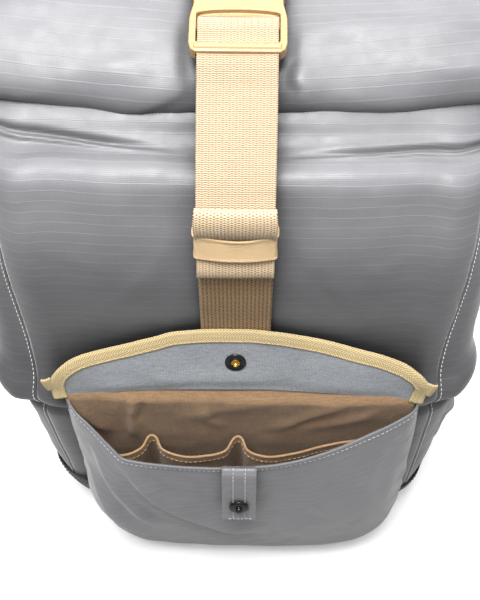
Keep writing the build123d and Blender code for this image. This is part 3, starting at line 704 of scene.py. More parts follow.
# ---- base boot ----
def boot():
    """Dark boot: wall round the foot and the bottom, one closed cup."""
    z = np.r_[np.linspace(BOOT_LINE + 2, 12, 16), np.linspace(9.5, 2.2, 5)]
    around = np.linspace(0, 1, 301)
    rows = []
    for height in z:
        half, front, back, r = [float(v) for v in section(height)]
        tuck = 0.9 + 5.5 * ease((10 - height) / 10)
        half, front, back = half + 1.0 - tuck * 0.6, front - 1.0 + tuck * 0.6, back + 1.0 - tuck * 0.6
        flat_x, flat_y = 2 * (half - r), back - front - 2 * r
        arc = r * math.pi / 2
        run = around * (2 * flat_x + 2 * flat_y + 4 * arc)
        legs = [flat_x, arc, flat_y, arc, flat_x, arc, flat_y, arc]
        starts = np.r_[0, np.cumsum(legs)]
        x, y = np.zeros_like(run), np.zeros_like(run)
        centres = [(half - r, front + r), (half - r, back - r), (r - half, back - r), (r - half, front + r)]
        lines = [((r - half, front), (1, 0)), ((half, front + r), (0, 1)),
                 ((half - r, back), (-1, 0)), ((-half, back - r), (0, -1))]
        for k in range(4):
            on = (run >= starts[2 * k]) & (run <= starts[2 * k + 1])
            d = run - starts[2 * k]
            (lx, ly), (vx, vy) = lines[k]
            x, y = np.where(on, lx + d * vx, x), np.where(on, ly + d * vy, y)
            on = (run > starts[2 * k + 1]) & (run <= starts[2 * k + 2])
            angle = (k - 1) * math.pi / 2 + (run - starts[2 * k + 1]) / r
            cx, cy = centres[k]
            x, y = np.where(on, cx + r * np.cos(angle), x), np.where(on, cy + r * np.sin(angle), y)
        rows.append(np.stack([x + drift(height), y, np.full_like(x, height)], -1))
    p = np.array(rows)
    last = p[-1]
    centre = np.array([drift(2), 3, 0])
    for share in np.linspace(0.12, 0.97, 12):
        ring = last * (1 - share) + centre * share
        ring[:, 2] = 2.2 - 1.5 * min(1.0, share * 8)
        p = np.concatenate([p, ring[None]])
    run = np.r_[0, np.cumsum(np.linalg.norm(np.diff(p[:, 0], axis=0), axis=1))]
    uv = np.stack(np.meshgrid(around * 980, run), -1) * MM
    a, bb = uv[..., 0] / MM, uv[..., 1] / MM
    out = (0.9 * noise(a, bb, 30, 91) + 0.4 * noise(a, bb, 11, 92)) * ease((34 - bb) / 10) * ease(bb / 4)
    x, y, z = p[..., 0], p[..., 1], p[..., 2]
    lift = ease((-x - 108) / 26) * 34 + ease((x - 118) / 26) * 12
    lift = lift * ease((-y - 34) / 34) * ease((z - 12) / (BOOT_LINE - 10))
    grow = curve(z + lift, Z_KEYS, HALF_KEYS) - curve(z, Z_KEYS, HALF_KEYS) + 0.05 * lift
    p[..., 2] += lift
    return p[::-1], uv[::-1], (out + grow)[::-1]


p_boot, uv_boot, out_boot = boot()
p_boot = p_boot + grid_normals(p_boot) * out_boot[..., None]
b = Build()
b.sheet(p_boot, uv_boot, 1.6)
n_boot = grid_normals(p_boot)
for back_off in (2, 4):
    b.stitches(p_boot[-1 - back_off], n_boot[-1 - back_off], 1)
place(b.make("base_boot_cloth", [BOOT, DARK_THREAD]), "bag", "boot_cloth", "base_boot", "base_panel")


# ---- the rolled mouth ----
ROLL_AT, ROLL_TILT = (50.0, 436.5), math.radians(24)
ROLL_HALF = 193.0


def roll():
    """Mouth rolled down on itself: a flattened spiral, puffed between the strap and its ends."""
    turn = np.linspace(-0.62 * math.pi, 4.05 * math.pi, 400)
    x = np.linspace(-ROLL_HALF, ROLL_HALF, 166)
    t, gx = np.meshgrid(turn, x, indexing="ij")
    wrap = np.clip((t + 0.62 * math.pi) / (2 * math.pi), 0, None)
    shrink = 1.2 + 4.3 * wrap + 0.8 * noise(wrap * 40, gx, 45, 31) * ease(wrap)
    out = np.abs(gx)
    puff = 4.0 * ease((out - 20) / 20) * (1 - 0.75 * ease((out - 150) / 45))
    pinch = 0.8 * (1 - ease((out - 20) / 22))
    power = 0.86
    c, s = np.cos(t + math.pi), np.sin(t + math.pi)
    u = (47.5 - shrink + 0.2 * puff) * np.sign(c) * np.abs(c) ** power
    v = -(20.5 - shrink + puff * (0.9 - 0.2 * wrap) - pinch) * np.sign(s) * np.abs(s) ** 0.92
    rise = 13.0 * (out / 170) ** 1.7 * (1 - ease((out - 168) / 60) * 0.3)
    low_front = ease((0.6 - (u / 47 - v / 40)) / 1.2)
    y = ROLL_AT[0] + u * math.cos(ROLL_TILT) - v * math.sin(ROLL_TILT) + rise * 0.75 * low_front
    z = ROLL_AT[1] + u * math.sin(ROLL_TILT) + v * math.cos(ROLL_TILT) + rise * (0.2 + 0.45 * low_front)
    p = np.stack([gx, y, z], -1)
    # Length along the cloth, measured from the foremost edge, positive up and over the top.
    leg = np.linalg.norm(np.diff(p[:, 83], axis=0), axis=1)
    run = np.r_[0, np.cumsum(leg)]
    front = np.interp(0.0, turn, run)
    b = (run - front)[:, None] + 0 * gx
    uv = np.stack([(gx + 200) * MM, (b + 120) * MM], -1)
    outer = 1 - ease((wrap - 1.0) / 0.15)
    d = 1.1 * noise(gx, b, 70, 41) + 0.45 * noise(gx, b, 26, 42) + 0.14 * noise(gx, b, 9, 43)
    d += 1.45 * folds(gx, b, [
        ([(-31, 26), (-38, 14), (-62, 4), (-95, -2)], 1.5, 4, 11, 0.35),
        ([(-29, 34), (-58, 30), (-120, 18)], 1.1, 14, 7, 0.5),
        ([(31, 34), (42, 16), (36, 2)], 1.4, 10, 4.5, 0.35),
        ([(33, 22), (80, 6), (150, -4)], 1.3, 8, 14, 0.5),
        ([(30, 62), (90, 58), (185, 46)], 1.7, 5, 13, 0.35),
        ([(-30, 70), (-90, 74), (-180, 66)], 1.4, 13, 6, 0.4),
        ([(-190, 10), (-140, 6), (-90, 14)], 1.2, 10, 5, 0.5),
        ([(188, 22), (140, 22), (100, 34)], 1.0, 8, 5, 0.5),
        ([(-120, 100), (-30, 92)], 1.2, 8, 8, 0.4),
        ([(120, 96), (30, 92)], 1.2, 8, 8, 0.4),
        ([(-25, -12), (-70, -20), (-150, -18)], 1.6, 6, 4, 0.4),
        ([(25, -12), (70, -19), (150, -16)], 1.6, 4, 6, 0.4)])
    d -= folds(gx, b, [([(-33, 64), (-33, 34), (-31, 14)], 1.2, 5, 5, 0.35),
                       ([(34, 64), (34, 34), (31, 14)], 1.2, 5, 5, 0.35)])
    wide = ease((out - 18) / 12)
    p = p + grid_normals(p) * (d * outer * wide)[..., None]
    return p[:, ::-1], uv[:, ::-1]


b = Build()
b.sheet(*facing(*roll(), (60, 80), (0, 0, 1)), 1.2)
place(b.make("roll_cloth", [NYLON]), "roll", "pack_cloth", "roll_top")


# ---- buckle frame of reference ----
SLOPE = math.radians(14)
BUCKLE_AT = np.array([0.0, 40.0, 460.5])
B_OUT = np.array([0.0, -math.sin(SLOPE), math.cos(SLOPE)])
B_UP = np.array([0.0, math.cos(SLOPE), math.sin(SLOPE)])


def in_buckle(x, y, z):
    """World point of buckle coordinates: x across, y along the strap, z out."""
    return BUCKLE_AT + np.array([x, 0, 0]) + y * B_UP + z * B_OUT


def arc_in_buckle(cy, cz, radius, start, stop):
    """Arc in the buckle's own (y, z), in degrees, as (Y, Z) points of the bag."""
    turn = np.radians(np.linspace(start, stop, 12))
    return [tuple(in_buckle(0, cy + radius * math.cos(a), cz + radius * math.sin(a))[1:]) for a in turn]


# ---- webbing ----
STRAP_FOOT = np.array([-69.0, 328.0])
WEB_ROW = 0.675


def webbing_sheet(build, path, half, thick, cord=1.04, high=0.16, spread=None, wobble=0.25, corded=1.0):
    """Woven strap along a (Y, Z) path: real ribs and a saw-tooth edge. spread widens it along its length."""
    line, run = resample(path, WEB_ROW)
    cols = int(round(2 * half / cord / 2)) * 2
    j = np.arange(cols + 1)
    x = (j / cols * 2 - 1) * half
    i = np.arange(len(line))
    p = np.zeros((len(line), cols + 1, 3))
    tooth = 0.22 * (-1.0) ** i
    widen = 1 + (spread(run) if spread else 0) / half
    p[..., 0] = x[None, :] * np.reshape(widen, (-1, 1))
    p[:, 0, 0] -= tooth
    p[:, -1, 0] += tooth
    p[..., 1], p[..., 2] = line[:, 0:1], line[:, 1:2]
    n = grid_normals(p)
    phase = (i[:, None] + (corded > 0.5) * ((j[None, :] // 2) % 2)) % 2
    rib = np.where(j % 2 == 1, 1.0, -0.6)[None, :]
    bumps = high * (rib * 0.6 * corded + np.where(phase == 0, 0.7, -0.7))
    edge = ease((half - np.abs(x)) / 2.2)[None, :]
    soft = wobble * noise(*np.meshgrid(x, run), 26, 55)
    p = p + n * (bumps * (0.5 + 0.5 * edge) - 0.35 * (1 - edge) + soft)[..., None]
    uv = np.stack(np.meshgrid((x + half) * MM, run * MM), -1)
    build.sheet(p, uv, thick)
    return p


# Straight stretch of the strap: distance s up from (-69, 328), offset o outward.
S_DIR, S_OUT = np.array([0.1673, 0.9859]), np.array([-0.9859, 0.1673])


def on_strap(s, o):
    return tuple(STRAP_FOOT + s * S_DIR + o * S_OUT)


LOAD = [(-87.6, 246), (-81.0, 262), (-72.4, 286), (-69, 328), (-57.4, 397), (-48, 406.5), (-25, 421),
        (2, 437.6)]
LOAD_END = LOAD + [tuple(in_buckle(0, -17, -0.6)[1:]), tuple(in_buckle(0, -8, -0.7)[1:])]
WRAP = arc_in_buckle(0, 3.5, 3.95, -86, 96)
TAIL_TOP = [tuple(in_buckle(0, y, z)[1:]) for y, z in ((-4.6, 7.0), (-9.4, 5.4), (-14, 4.5), (-21, 4.3))]
TAIL = TAIL_TOP + [(2, 447.4), (-25, 428.6), (-50, 409.4), on_strap(70, 3.2)]
TAIL_DOWN = TAIL + [on_strap(58, 2.3), on_strap(44, 2.3), on_strap(31, 2.6)]
BUNDLE = [on_strap(s, o) for s, o in (
    (28, 3.6), (33, 4.4), (45, 4.9), (60, 4.9), (70, 5.0), (76, 5.6), (79.3, 7.2), (79.4, 9.6), (76.3, 11.6),
    (71, 12.4), (66, 11.5), (62, 9.3), (58, 7.7), (52, 7.0), (40, 7.0), (36, 8.2), (31.5, 9.0), (27.3, 8.2),
    (25.4, 6.2), (26.2, 4.6))]

strap_bend = ("bag", "roll", (0, 0, 398), (0, 0, 440))
b = Build()
webbing_sheet(b, LOAD_END, 24.6, 1.5, cord=1.35, high=0.24)
place(b.make("load_strap", [WEBBING_BACK_SHADE_PAINTED]), None, "tan_webbing", bend=strap_bend)

b = Build()
webbing_sheet(b, [LOAD_END[-1]] + WRAP + TAIL_DOWN, 25.1, 1.5, high=0.13, corded=0.35,
              spread=lambda s: -0.5 * ease((s - 60) / 90))
place(b.make("tail_strap", [WEBBING]), None, "tan_webbing", "closure_webbing", bend=strap_bend)

b = Build()
p_bundle = webbing_sheet(b, BUNDLE, 24.8, 1.5, wobble=0.5, corded=0.55,
                         spread=lambda s: 1.1 * np.exp(-(((s - 62) / 9) ** 2)))
bundle_n = grid_normals(p_bundle)
b.stitches(p_bundle[-6, 2:-2] + bundle_n[-6, 2:-2] * 0.1, bundle_n[-6, 2:-2], 1, length=2.2, gap=0.8)
place(b.make("folded_tail", [WEBBING_FOLD_LIGHT_PAINTED, TAN_THREAD]), "bag", "tan_webbing")


# ---- elastic keeper ----
def rounded(x0, x1, z0, z1, r):
    """Rounded rectangle outline, from its right side round by the top."""
    quarter = np.radians(np.linspace(0, 90, 7))
    corners = ((x1 - r, z1 - r), (x0 + r, z1 - r), (x0 + r, z0 + r), (x1 - r, z0 + r))
    return np.array([(cx + r * math.cos(a + k * math.pi / 2), cz + r * math.sin(a + k * math.pi / 2))
                     for k, (cx, cz) in enumerate(corners) for a in quarter])


def keeper():
    """Elastic band round the strap: rolled edges, slack at the front middle."""
    back, front, half, corner = -1.9, 10.2, 26.1, 2.4
    loop = rounded(-half, half, back, front, corner)
    ring, run = resample(np.r_[loop, loop[:1]], 0.8)
    s = np.linspace(-10.0, 10.0, 25)
    xs, os_ = ring[:, 0][None, :], ring[:, 1][None, :]
    lip = 1.2 * (np.exp(-(((s - 8.9) / 1.1) ** 2)) + 0.5 * np.exp(-(((s + 9.2) / 1.0) ** 2)))[:, None]
    middle = np.where(os_ > 3, 1 - np.clip(np.abs(xs) / half, 0, 1) ** 2, 0)
    tall = 1 + 0.2 * (1 - middle) * (s[:, None] > 0)
    along = 52.2 + s[:, None] * 0.9 * tall - 1.2 * middle
    weave = 0.06 * np.where(np.arange(len(s)) % 2 == 0, 1, -1)[:, None]
    centre = np.array([0.0, (front + back) / 2])
    away = ring - centre
    away /= np.linalg.norm(away, axis=1, keepdims=True)
    sx = xs + away[:, 0][None, :] * (lip + weave)
    rough = 0.3 * noise(xs + 0 * s[:, None], s[:, None] + 0 * xs, 9, 71)
    so = os_ + away[:, 1][None, :] * (lip + weave + rough)
    yz = STRAP_FOOT + along[..., None] * S_DIR + so[..., None] * S_OUT
    p = np.stack([sx + 0 * along, yz[..., 0], yz[..., 1]], -1)
    uv = np.stack(np.meshgrid(run * MM, (s + 12) * MM), -1)
    return p, uv


b = Build()
b.sheet(*facing(*keeper(), (12, 20), (0, -1, 0)), 1.2)
place(b.make("elastic_keeper", [ELASTIC]), "keeper", "elastic", "strap_keeper")


# ---- moulded parts ----
def solid(kind, size, at, turn=(0, 0, 0)):
    """One box or rod in mm, to be joined into a moulding."""
    bm = bmesh.new()
    if kind == "box":
        bmesh.ops.create_cube(bm, size=1.0)
    else:
        bmesh.ops.create_cone(bm, cap_ends=True, segments=48, radius1=0.5, radius2=0.5, depth=1.0)
    mesh = bpy.data.meshes.new("part")
    bm.to_mesh(mesh)
    bm.free()
    obj = bpy.data.objects.new("part", mesh)
    obj.scale, obj.location, obj.rotation_euler = size, at, turn
    bpy.context.collection.objects.link(obj)
    return obj


def prism(outline, low, high):
    """Straight-sided outline in (x, y), from one height to another."""
    bm = bmesh.new()
    ring = [bm.verts.new((x, y, low)) for x, y in outline]
    face = bm.faces.new(ring)
    lifted = bmesh.ops.extrude_face_region(bm, geom=[face])
    top = [v for v in lifted["geom"] if isinstance(v, bmesh.types.BMVert)]
    bmesh.ops.translate(bm, vec=(0, 0, high - low), verts=top)
    bmesh.ops.recalc_face_normals(bm, faces=bm.faces)
    mesh = bpy.data.meshes.new("part")
    bm.to_mesh(mesh)
    bm.free()
    obj = bpy.data.objects.new("part", mesh)
    bpy.context.collection.objects.link(obj)
    return obj


def use(obj, kind, **settings):
    mod = obj.modifiers.new(kind.lower(), kind)
    for key, value in settings.items():
        setattr(mod, key, value)
    return mod


def applied(obj):
    """Bake the modifiers into the mesh."""
    bpy.context.view_layer.update()
    graph = bpy.context.evaluated_depsgraph_get()
    mesh = bpy.data.meshes.new_from_object(obj.evaluated_get(graph))
    obj.modifiers.clear()
    obj.data = mesh
    return obj


def moulding(name, add, cut, material, frame_of, voxel=0.42, soft=8):
    """Join and cut solids, then remesh and relax them so every edge is rounded as moulded plastic is."""
    base = add[0]
    for other in add[1:]:
        use(base, "BOOLEAN", operation="UNION", object=other, solver="EXACT")
    for other in cut:
        use(base, "BOOLEAN", operation="DIFFERENCE", object=other, solver="EXACT")
    applied(base)
    base.data.transform(base.matrix_basis)
    base.matrix_basis.identity()
    use(base, "REMESH", mode="VOXEL", voxel_size=voxel)
    use(base, "SMOOTH", factor=0.5, iterations=soft)
    applied(base)
    for other in add[1:] + cut:
        bpy.data.objects.remove(other)
    mesh = base.data
    co = np.empty(len(mesh.vertices) * 3)
    mesh.vertices.foreach_get("co", co)
    mesh.vertices.foreach_set("co", (frame_of(co.reshape(-1, 3)) * MM).ravel())
    mesh.polygons.foreach_set("use_smooth", np.full(len(mesh.polygons), True))
    mesh.materials.clear()
    mesh.materials.append(material)
    mesh.update()
    base.name = name
    return base


def to_buckle(co):
    return BUCKLE_AT + co[:, 0:1] * np.array([1.0, 0, 0]) + co[:, 1:2] * B_UP + co[:, 2:3] * B_OUT


def arch(half, low, sides, middle):
    """Window outline: flat foot, upright sides and an arched head."""
    turn = np.linspace(0, math.pi, 9)
    head = [(half * math.cos(a), sides + (middle - sides) * math.sin(a)) for a in turn]
    return [(-half, low), (half, low)] + head


edge = [(26.2, -22.0), (28.9, -20.0), (30.2, -15.5), (30.2, 2), (29.5, 6.5), (28.0, 12.5), (27.4, 20)]
plate = [(-26.2, -22.0)] + edge + [(-x, y) for x, y in edge[:0:-1]]
male = moulding(
    "buckle_adjuster",
    [prism(plate, 0, 8.3), solid("rod", (5.6, 5.6, 54), (0, 0, 3.5), (0, math.pi / 2, 0)),
     solid("rod", (4.6, 4.6, 53), (0, -18.2, 7.4), (0, math.pi / 2, 0)),
     solid("box", (8, 26, 3.6), (0, 31, 3.5))],
    [prism(arch(25.9, -14.9, 6.0, 9.0), 4.8, 12), solid("box", (51.8, 12.1, 16), (0, -8.85, 4.0)),
     solid("box", (51.8, 3.6, 16), (0, 4.6, 4.0)), solid("box", (51.8, 10.4, 7.0), (0, -19.4, 1.7))],
    CREAM, to_buckle, 0.4, 6)
place(male, "roll", "buckle_plastic", "buckle_male")

socket_outline = [(-29, 21), (-28, 20.4), (28, 20.4), (29, 21), (29, 50), (28, 56), (26.6, 61), (24, 62),
                  (-24, 62), (-26.6, 61), (-28, 56), (-29, 50)]
female = moulding(
    "buckle_socket_shell",
    [prism(socket_outline, -1.2, 8.2), solid("rod", (5, 5, 53), (0, 58.5, 3.5), (0, math.pi / 2, 0)),
     solid("box", (30, 1.2, 0.7), (0, 28, 8.4)), solid("box", (30, 1.2, 0.7), (0, 31, 8.4)),
     solid("box", (30, 1.2, 0.7), (0, 34, 8.4))],
    [solid("box", (52, 29, 6), (0, 33.5, 3.7)), solid("box", (45, 7, 6), (0, 49.5, 3.7)),
     solid("box", (80, 15.5, 6), (0, 38.2, 3.7)), solid("box", (51.2, 2.6, 15), (0, 54.9, 4)),
     solid("box", (51.2, 4, 15), (0, 63.0, 4))],
    CREAM, to_buckle, 0.4, 7)
place(female, "buckle_socket", "buckle_plastic", "buckle_female")

for side, name in ((-1, "prong_left"), (1, "prong_right")):
    arm = [(19.9, 20.9), (24.5, 20.9), (24.8, 30), (25.3, 36), (25.2, 39), (22.8, 46), (20.4, 49.8),
           (18.6, 49.8), (18.8, 44), (19.9, 36), (20.0, 30)]
    arm = [(side * px, py) for px, py in arm][::side]
    prong = moulding("latch_arm_" + name.split("_")[1], [prism(arm, 1.2, 5.8)], [], CREAM, to_buckle, 0.3, 4)
    place(prong, name, "buckle_plastic", name)

# ---- strap from the yoke over the socket's bar ----
LOOP = arc_in_buckle(58.5, 3.5, 3.6, 240, 0)
TOP_PATH = LOOP + [(104.4, 464), (105.2, 450)]
b = Build()
webbing_sheet(b, TOP_PATH, 25.0, 1.5)
place(b.make("socket_strap", [WEBBING]), None, "tan_webbing", "top_strap",
      bend=("roll", "buckle_socket", (0, 103.5, 450), (0, 104.5, 462)))
b = Build()
webbing_sheet(b, [(105.3, 452), (103.6, 434), (100.6, 418), (98.4, 402)], 24.7, 1.5)
place(b.make("yoke_strap", [WEBBING]), None, "tan_webbing", bend=("bag", "roll", (0, 0, 404), (0, 0, 448)))
for piece in ("mouth_stiffener", "frame_sheet"):
    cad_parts[piece].data.materials.clear()
    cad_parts[piece].data.materials.append(BLACK if piece == "mouth_stiffener" else FOAM)


# ---- front pocket ----
# Columns of the pocket's front from its left seam to its right seam: points of the lip, of the middle
# (Z 110) and of the foot (Z 25), as (X, Y, Z), (X, Y) and (X, Y). The soft lip is not symmetric.
POCKET_NET = [
    ((-130.0, -96.5, 236.0), None, None),
    ((-120.5, -104.0, 230.5), (-126.5, -102.0), (-122.0, -88.0)),
    ((-107.0, -115.5, 225.0), (-121.5, -117.0), (-117.5, -102.0)),
    ((-91.0, -128.5, 216.0), (-112.0, -131.0), (-108.0, -114.5)),
    ((-82.5, -134.4, 211.0), (-102.5, -137.5), (-97.0, -121.5)),
    ((-73.0, -136.2, 210.0), (-88.0, -140.5), (-83.0, -127.5)),
    ((-52.0, -138.2, 208.7), (-60.0, -142.3), (-58.0, -130.0)),
    ((-14.0, -139.4, 207.8), (-16.0, -143.4), (-12.0, -131.5)),
    ((12.0, -138.6, 208.6), (14.0, -143.2), (16.0, -131.5)),
    ((40.0, -135.6, 211.0), (46.0, -142.4), (48.0, -131.0)),
    ((69.0, -128.6, 216.0), (80.0, -139.6), (84.0, -128.5)),
    ((97.0, -118.6, 223.0), (112.0, -131.5), (116.0, -121.0)),
    ((121.0, -108.8, 229.5), (130.5, -119.0), (134.0, -108.0)),
    ((131.5, -103.0, 233.0), (139.0, -107.0), (143.0, -93.0)),
    ((138.5, -97.0, 235.0), None, None),
]
FOOT_Z = 25.0


def pocket_surface():
    """The pocket's front and rounded sides as one draped sheet, lip first."""
    rows = 118
    cols = []
    ends = {0: (-130.0, 7.0), len(POCKET_NET) - 1: (138.5, 9.0)}
    for k, (lip, mid, foot) in enumerate(POCKET_NET):
        if mid is None:
            x0, grow = ends[k]
            z = np.array([lip[2], 190, 140, 90, 50, 22, 9])
            x = x0 + grow * (1 - z / 236)
            y = front_y(x - drift(z), z) - 2.0
            line = np.stack([x, y, z], 1)
            line = np.r_[line, [[x[-1] - np.sign(x0) * 3, y[-1] + 9, 5.6]]]
        else:
            m = np.array([mid[0], mid[1], 110.0])
            f = np.array([foot[0], foot[1], FOOT_Z])
            lip_v = np.array(lip)
            up = lip_v * 0.45 + m * 0.55 + np.array([0, -1.6, 0])
            up[2] = lip_v[2] * 0.42 + 110 * 0.58
            low = m * 0.5 + f * 0.5 + np.array([0, -2.8, 0])
            inward = np.array([-0.02 * f[0], 0, 0])
            line = np.array([lip_v, up, m, low, f, f + inward + np.array([0, 8.5, -14.5]),
                             f + 2.5 * inward + np.array([0, 21, -18.6]),
                             f + 4 * inward + np.array([0, 34, -19.2])])
            line[-1][1] = max(line[-1][1], line[-2][1] + 3)
        smooth, run = resample(line, 1.0)
        at = np.linspace(0, run[-1], rows)
        cols.append(np.stack([np.interp(at, run, smooth[:, c]) for c in range(3)], 1))
    net = np.array(cols).transpose(1, 0, 2)
    out = []
    for line in net:
        smooth, run = resample(line, 1.2)
        at = np.linspace(0, run[-1], 181)
        out.append(np.stack([np.interp(at, run, smooth[:, c]) for c in range(3)], 1))
    return np.array(out)


def pocket_relief(p):
    """Drapes, wrinkles and the rolled lip of the pocket's front."""
    x, z = p[..., 0], p[..., 2]
    run = np.cumsum(np.r_[np.zeros((1, p.shape[1])), np.linalg.norm(np.diff(p, axis=0), axis=2)], axis=0)
    out = 0.9 * noise(x, z, 46, 101) + 0.4 * noise(x, z, 17, 102) + 0.12 * noise(x, z, 7, 103)
    out += folds(x, z, [
        ([(-90, 212), (-82, 200), (-58, 150), (-7, 100), (34, 80)], 6.4, 17, 5.0, 0.25),
        ([(-76, 206), (-60, 180), (-36, 152)], -3.6, 11, 9, 0.4),
        ([(-110, 206), (-92, 160), (-62, 84)], 4.8, 12, 5, 0.3),
        ([(-118, 168), (-102, 112), (-78, 52)], 4.0, 10, 5, 0.3),
        ([(-98, 192), (-80, 146), (-52, 96)], -2.2, 6, 7, 0.35),
        ([(40, 204), (60, 150), (104, 96)], 2.3, 14, 9, 0.4),
        ([(112, 214), (104, 160), (118, 92)], 2.2, 8, 10, 0.4),
        ([(128, 186), (122, 120), (134, 50)], 1.4, 6, 9, 0.4),
        ([(-26, 196), (-24, 150)], -1.0, 8, 5, 0.4),
        ([(27, 198), (26, 150)], -1.0, 5, 8, 0.4)])
    for h in (188, 162, 132, 101, 72):
        out += fold(x, z, [(129, h), (138, h + 4), (150, h - 1)], 1.1, 4, 6, 0.3)
        out += fold(x, z, [(-138, h - 5), (-131, h + 2), (-122, h - 4)], 1.1, 4, 6, 0.3)
    hem = np.exp(-(((run - 1.5) / 1.6) ** 2)) * 0.9 - 0.8 * np.exp(-(((run - 5.6) / 0.9) ** 2))
    edge = ease(np.minimum(np.arange(p.shape[1]), p.shape[1] - 1 - np.arange(p.shape[1])) / 9.0)[None, :]
    return out * ease(run / 16) * edge * (0.35 + 0.65 * ease((z - 8) / 20)) + hem


p_pocket = pocket_surface()
uv_pocket = panel_uv(p_pocket)
if (grid_normals(p_pocket)[40, 90] @ np.array([0, -1, 0])) < 0:
    p_pocket, uv_pocket = p_pocket[::-1], uv_pocket[::-1]
LIP_FIRST = p_pocket[0, 90, 2] > p_pocket[-1, 90, 2]
if not LIP_FIRST:
    relief = pocket_relief(p_pocket[::-1])[::-1]
else:
    relief = pocket_relief(p_pocket)
p_pocket = p_pocket + grid_normals(p_pocket) * relief[..., None]
n_pocket = grid_normals(p_pocket)
lip_row = (lambda k: k) if LIP_FIRST else (lambda k: -1 - k)
b = Build()
b.sheet(p_pocket, uv_pocket, 1.4, 0, 1, 0)
b.stitches(p_pocket[lip_row(3)], n_pocket[lip_row(3)], 2, length=2.4, gap=1.2, radius=0.26)
for col in (2, -3):
    b.stitches(p_pocket[3:-12, col], n_pocket[3:-12, col], 2, length=2.4, gap=1.2, radius=0.26)
place(b.make("pocket_cloth", [NYLON, LINING, THREAD]), "bag", "pack_cloth",
      "pocket_front", "pocket_gusset_left", "pocket_gusset_right")


def pocket_back():
    """Brown lining on the back wall, with soft folds, down behind the organizer."""
    share, z = np.meshgrid(np.linspace(0, 1, 132), np.linspace(245, 12, 116))
    tuck = np.clip(1 - z / 70, 0, None) ** 2
    left = -126.2 + 8.0 * (1 - z / 238) + 17.0 * tuck
    x = left + (133 - 11.0 * tuck - left) * share
    y = np.minimum(-97.2, front_y(x - drift(z), z) - 2.6) + 6.2 * ease((z - 232) / 12)
    lift = 0.8 * noise(x, z, 34, 111) + 0.35 * noise(x, z, 13, 112)
    lift += folds(x, z, [
        ([(-76, 238), (-79, 205), (-82, 170)], 3.2, 5, 3, 0.3),
        ([(-70, 236), (-73, 200)], -1.6, 4, 4, 0.3),
        ([(22, 184), (60, 216), (92, 238)], 2.2, 8, 5, 0.35),
        ([(40, 186), (84, 206), (118, 230)], 1.8, 5, 8, 0.35),
        ([(-60, 200), (-10, 222), (40, 236)], 1.4, 8, 8, 0.4),
        ([(-125, 232), (-110, 200), (-96, 176)], 2.4, 7, 4, 0.35),
        ([(-30, 236), (-22, 205), (-4, 186)], 1.3, 6, 4, 0.4)])
    p = np.stack([x, y - 1.2 * (lift + 0.8) * ease((240 - z) / 9), z], -1)
    return p, np.stack([x, z], -1) * MM


b = Build()
b.sheet(*facing(*pocket_back(), (50, 60), (0, -1, 0), 0), 0.8)
place(b.make("pocket_lining_cloth", [LINING]), "bag", "lining", "pocket_lining")


def organizer():
    """Pleated slip pockets with a sewn hem; the hem stands highest at the two tucks."""
    plan = [(-121, -101.2), (-114, -109), (-101, -116), (-86, -118.5), (-73, -112), (-66.2, -102.4),
            (-64.0, -102.6), (-57, -113), (-44, -118.5), (-24, -118.5), (-8, -114), (1.2, -102.4),
            (3.4, -102.6), (9.5, -113), (22, -118), (42, -116), (70, -108), (100, -103), (131, -100.4)]
    line, run = resample(plan, 1.6)
    peaks = np.exp(-(((line[:, 0] + 65) / 4.6) ** 2)) + np.exp(-(((line[:, 0] - 2.3) / 4.0) ** 2))
    hem_top = 184.0 + 2.5 * peaks - 0.8 * np.exp(-(((line[:, 0] + 95) / 22) ** 2))
    hem_top += 1.5 * ease((line[:, 0] - 60) / 60)
    down = np.r_[np.linspace(0, 11, 9), np.linspace(13, 160, 62)]
    deep, x = np.meshgrid(down, line[:, 0], indexing="ij")
    y = np.broadcast_to(line[:, 1], deep.shape)
    z = hem_top[None, :] - deep
    soft = 1.6 * noise(x, z, 24, 121) * ease(deep / 25) + 0.5 * noise(x, z, 9, 122)
    out = soft * (1 - 0.6 * np.broadcast_to(np.clip(peaks, 0, 1), deep.shape))
    hem = 0.6 * ease((11.5 - deep) / 0.8) + 0.5 * np.exp(-((deep / 1.3) ** 2))
    p = np.stack([x * (1 - 0.14 * np.clip(1 - (z - 22) / 60, 0, 1) ** 1.5), y - 0.5 * out, z], -1)
    if (grid_normals(p)[30, 30] @ np.array([0, -1, 0])) < 0:
        p, hem, run = p[:, ::-1], hem[:, ::-1], run[-1] - run[::-1]
    p = p + grid_normals(p) * hem[..., None]
    uv = np.stack(np.meshgrid(run * MM, down * MM), -1)
    return p, uv


p_org, uv_org = organizer()
n_org = grid_normals(p_org)
b = Build()
b.sheet(p_org[8:], uv_org[8:], 0.9, 0)
b.sheet(p_org[:9], uv_org[:9], 1.7, 1)
b.stitches(p_org[6], n_org[6], 2, length=2.4, gap=1.3, radius=0.24)
place(b.make("organizer_cloth", [LINING, HEM, TAN_THREAD]), "bag", "lining", "pocket_organizer")

# ---- pocket flap ----
FLAP_AT, FLAP_LEAN = np.array([0.0, -95.0, 237.0]), math.radians(19)
FLAP_OUT = np.array([0.0, -math.cos(FLAP_LEAN), math.sin(FLAP_LEAN)])
FLAP_UP = np.array([0.0, math.sin(FLAP_LEAN), math.cos(FLAP_LEAN)])
FLAP_X = [-135.6, -133.4, -129.8, -123, -113, -100, -79, -60, -43,
          -15, 6, 27, 55, 84, 113, 128, 136, 140.5]
FLAP_TOP = [13, 19.5, 25.2, 31.8, 37.8, 41.8, 47.5, 53.5, 58.2,
            60.5, 60.7, 59.5, 54.8, 47.5, 39.0, 31.5, 25.0, 18]
BIND = 11.0


def flap_root(x):
    """Height of the flap's root seam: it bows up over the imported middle."""
    return 5.5 - 9.5 * (x / 138) ** 2


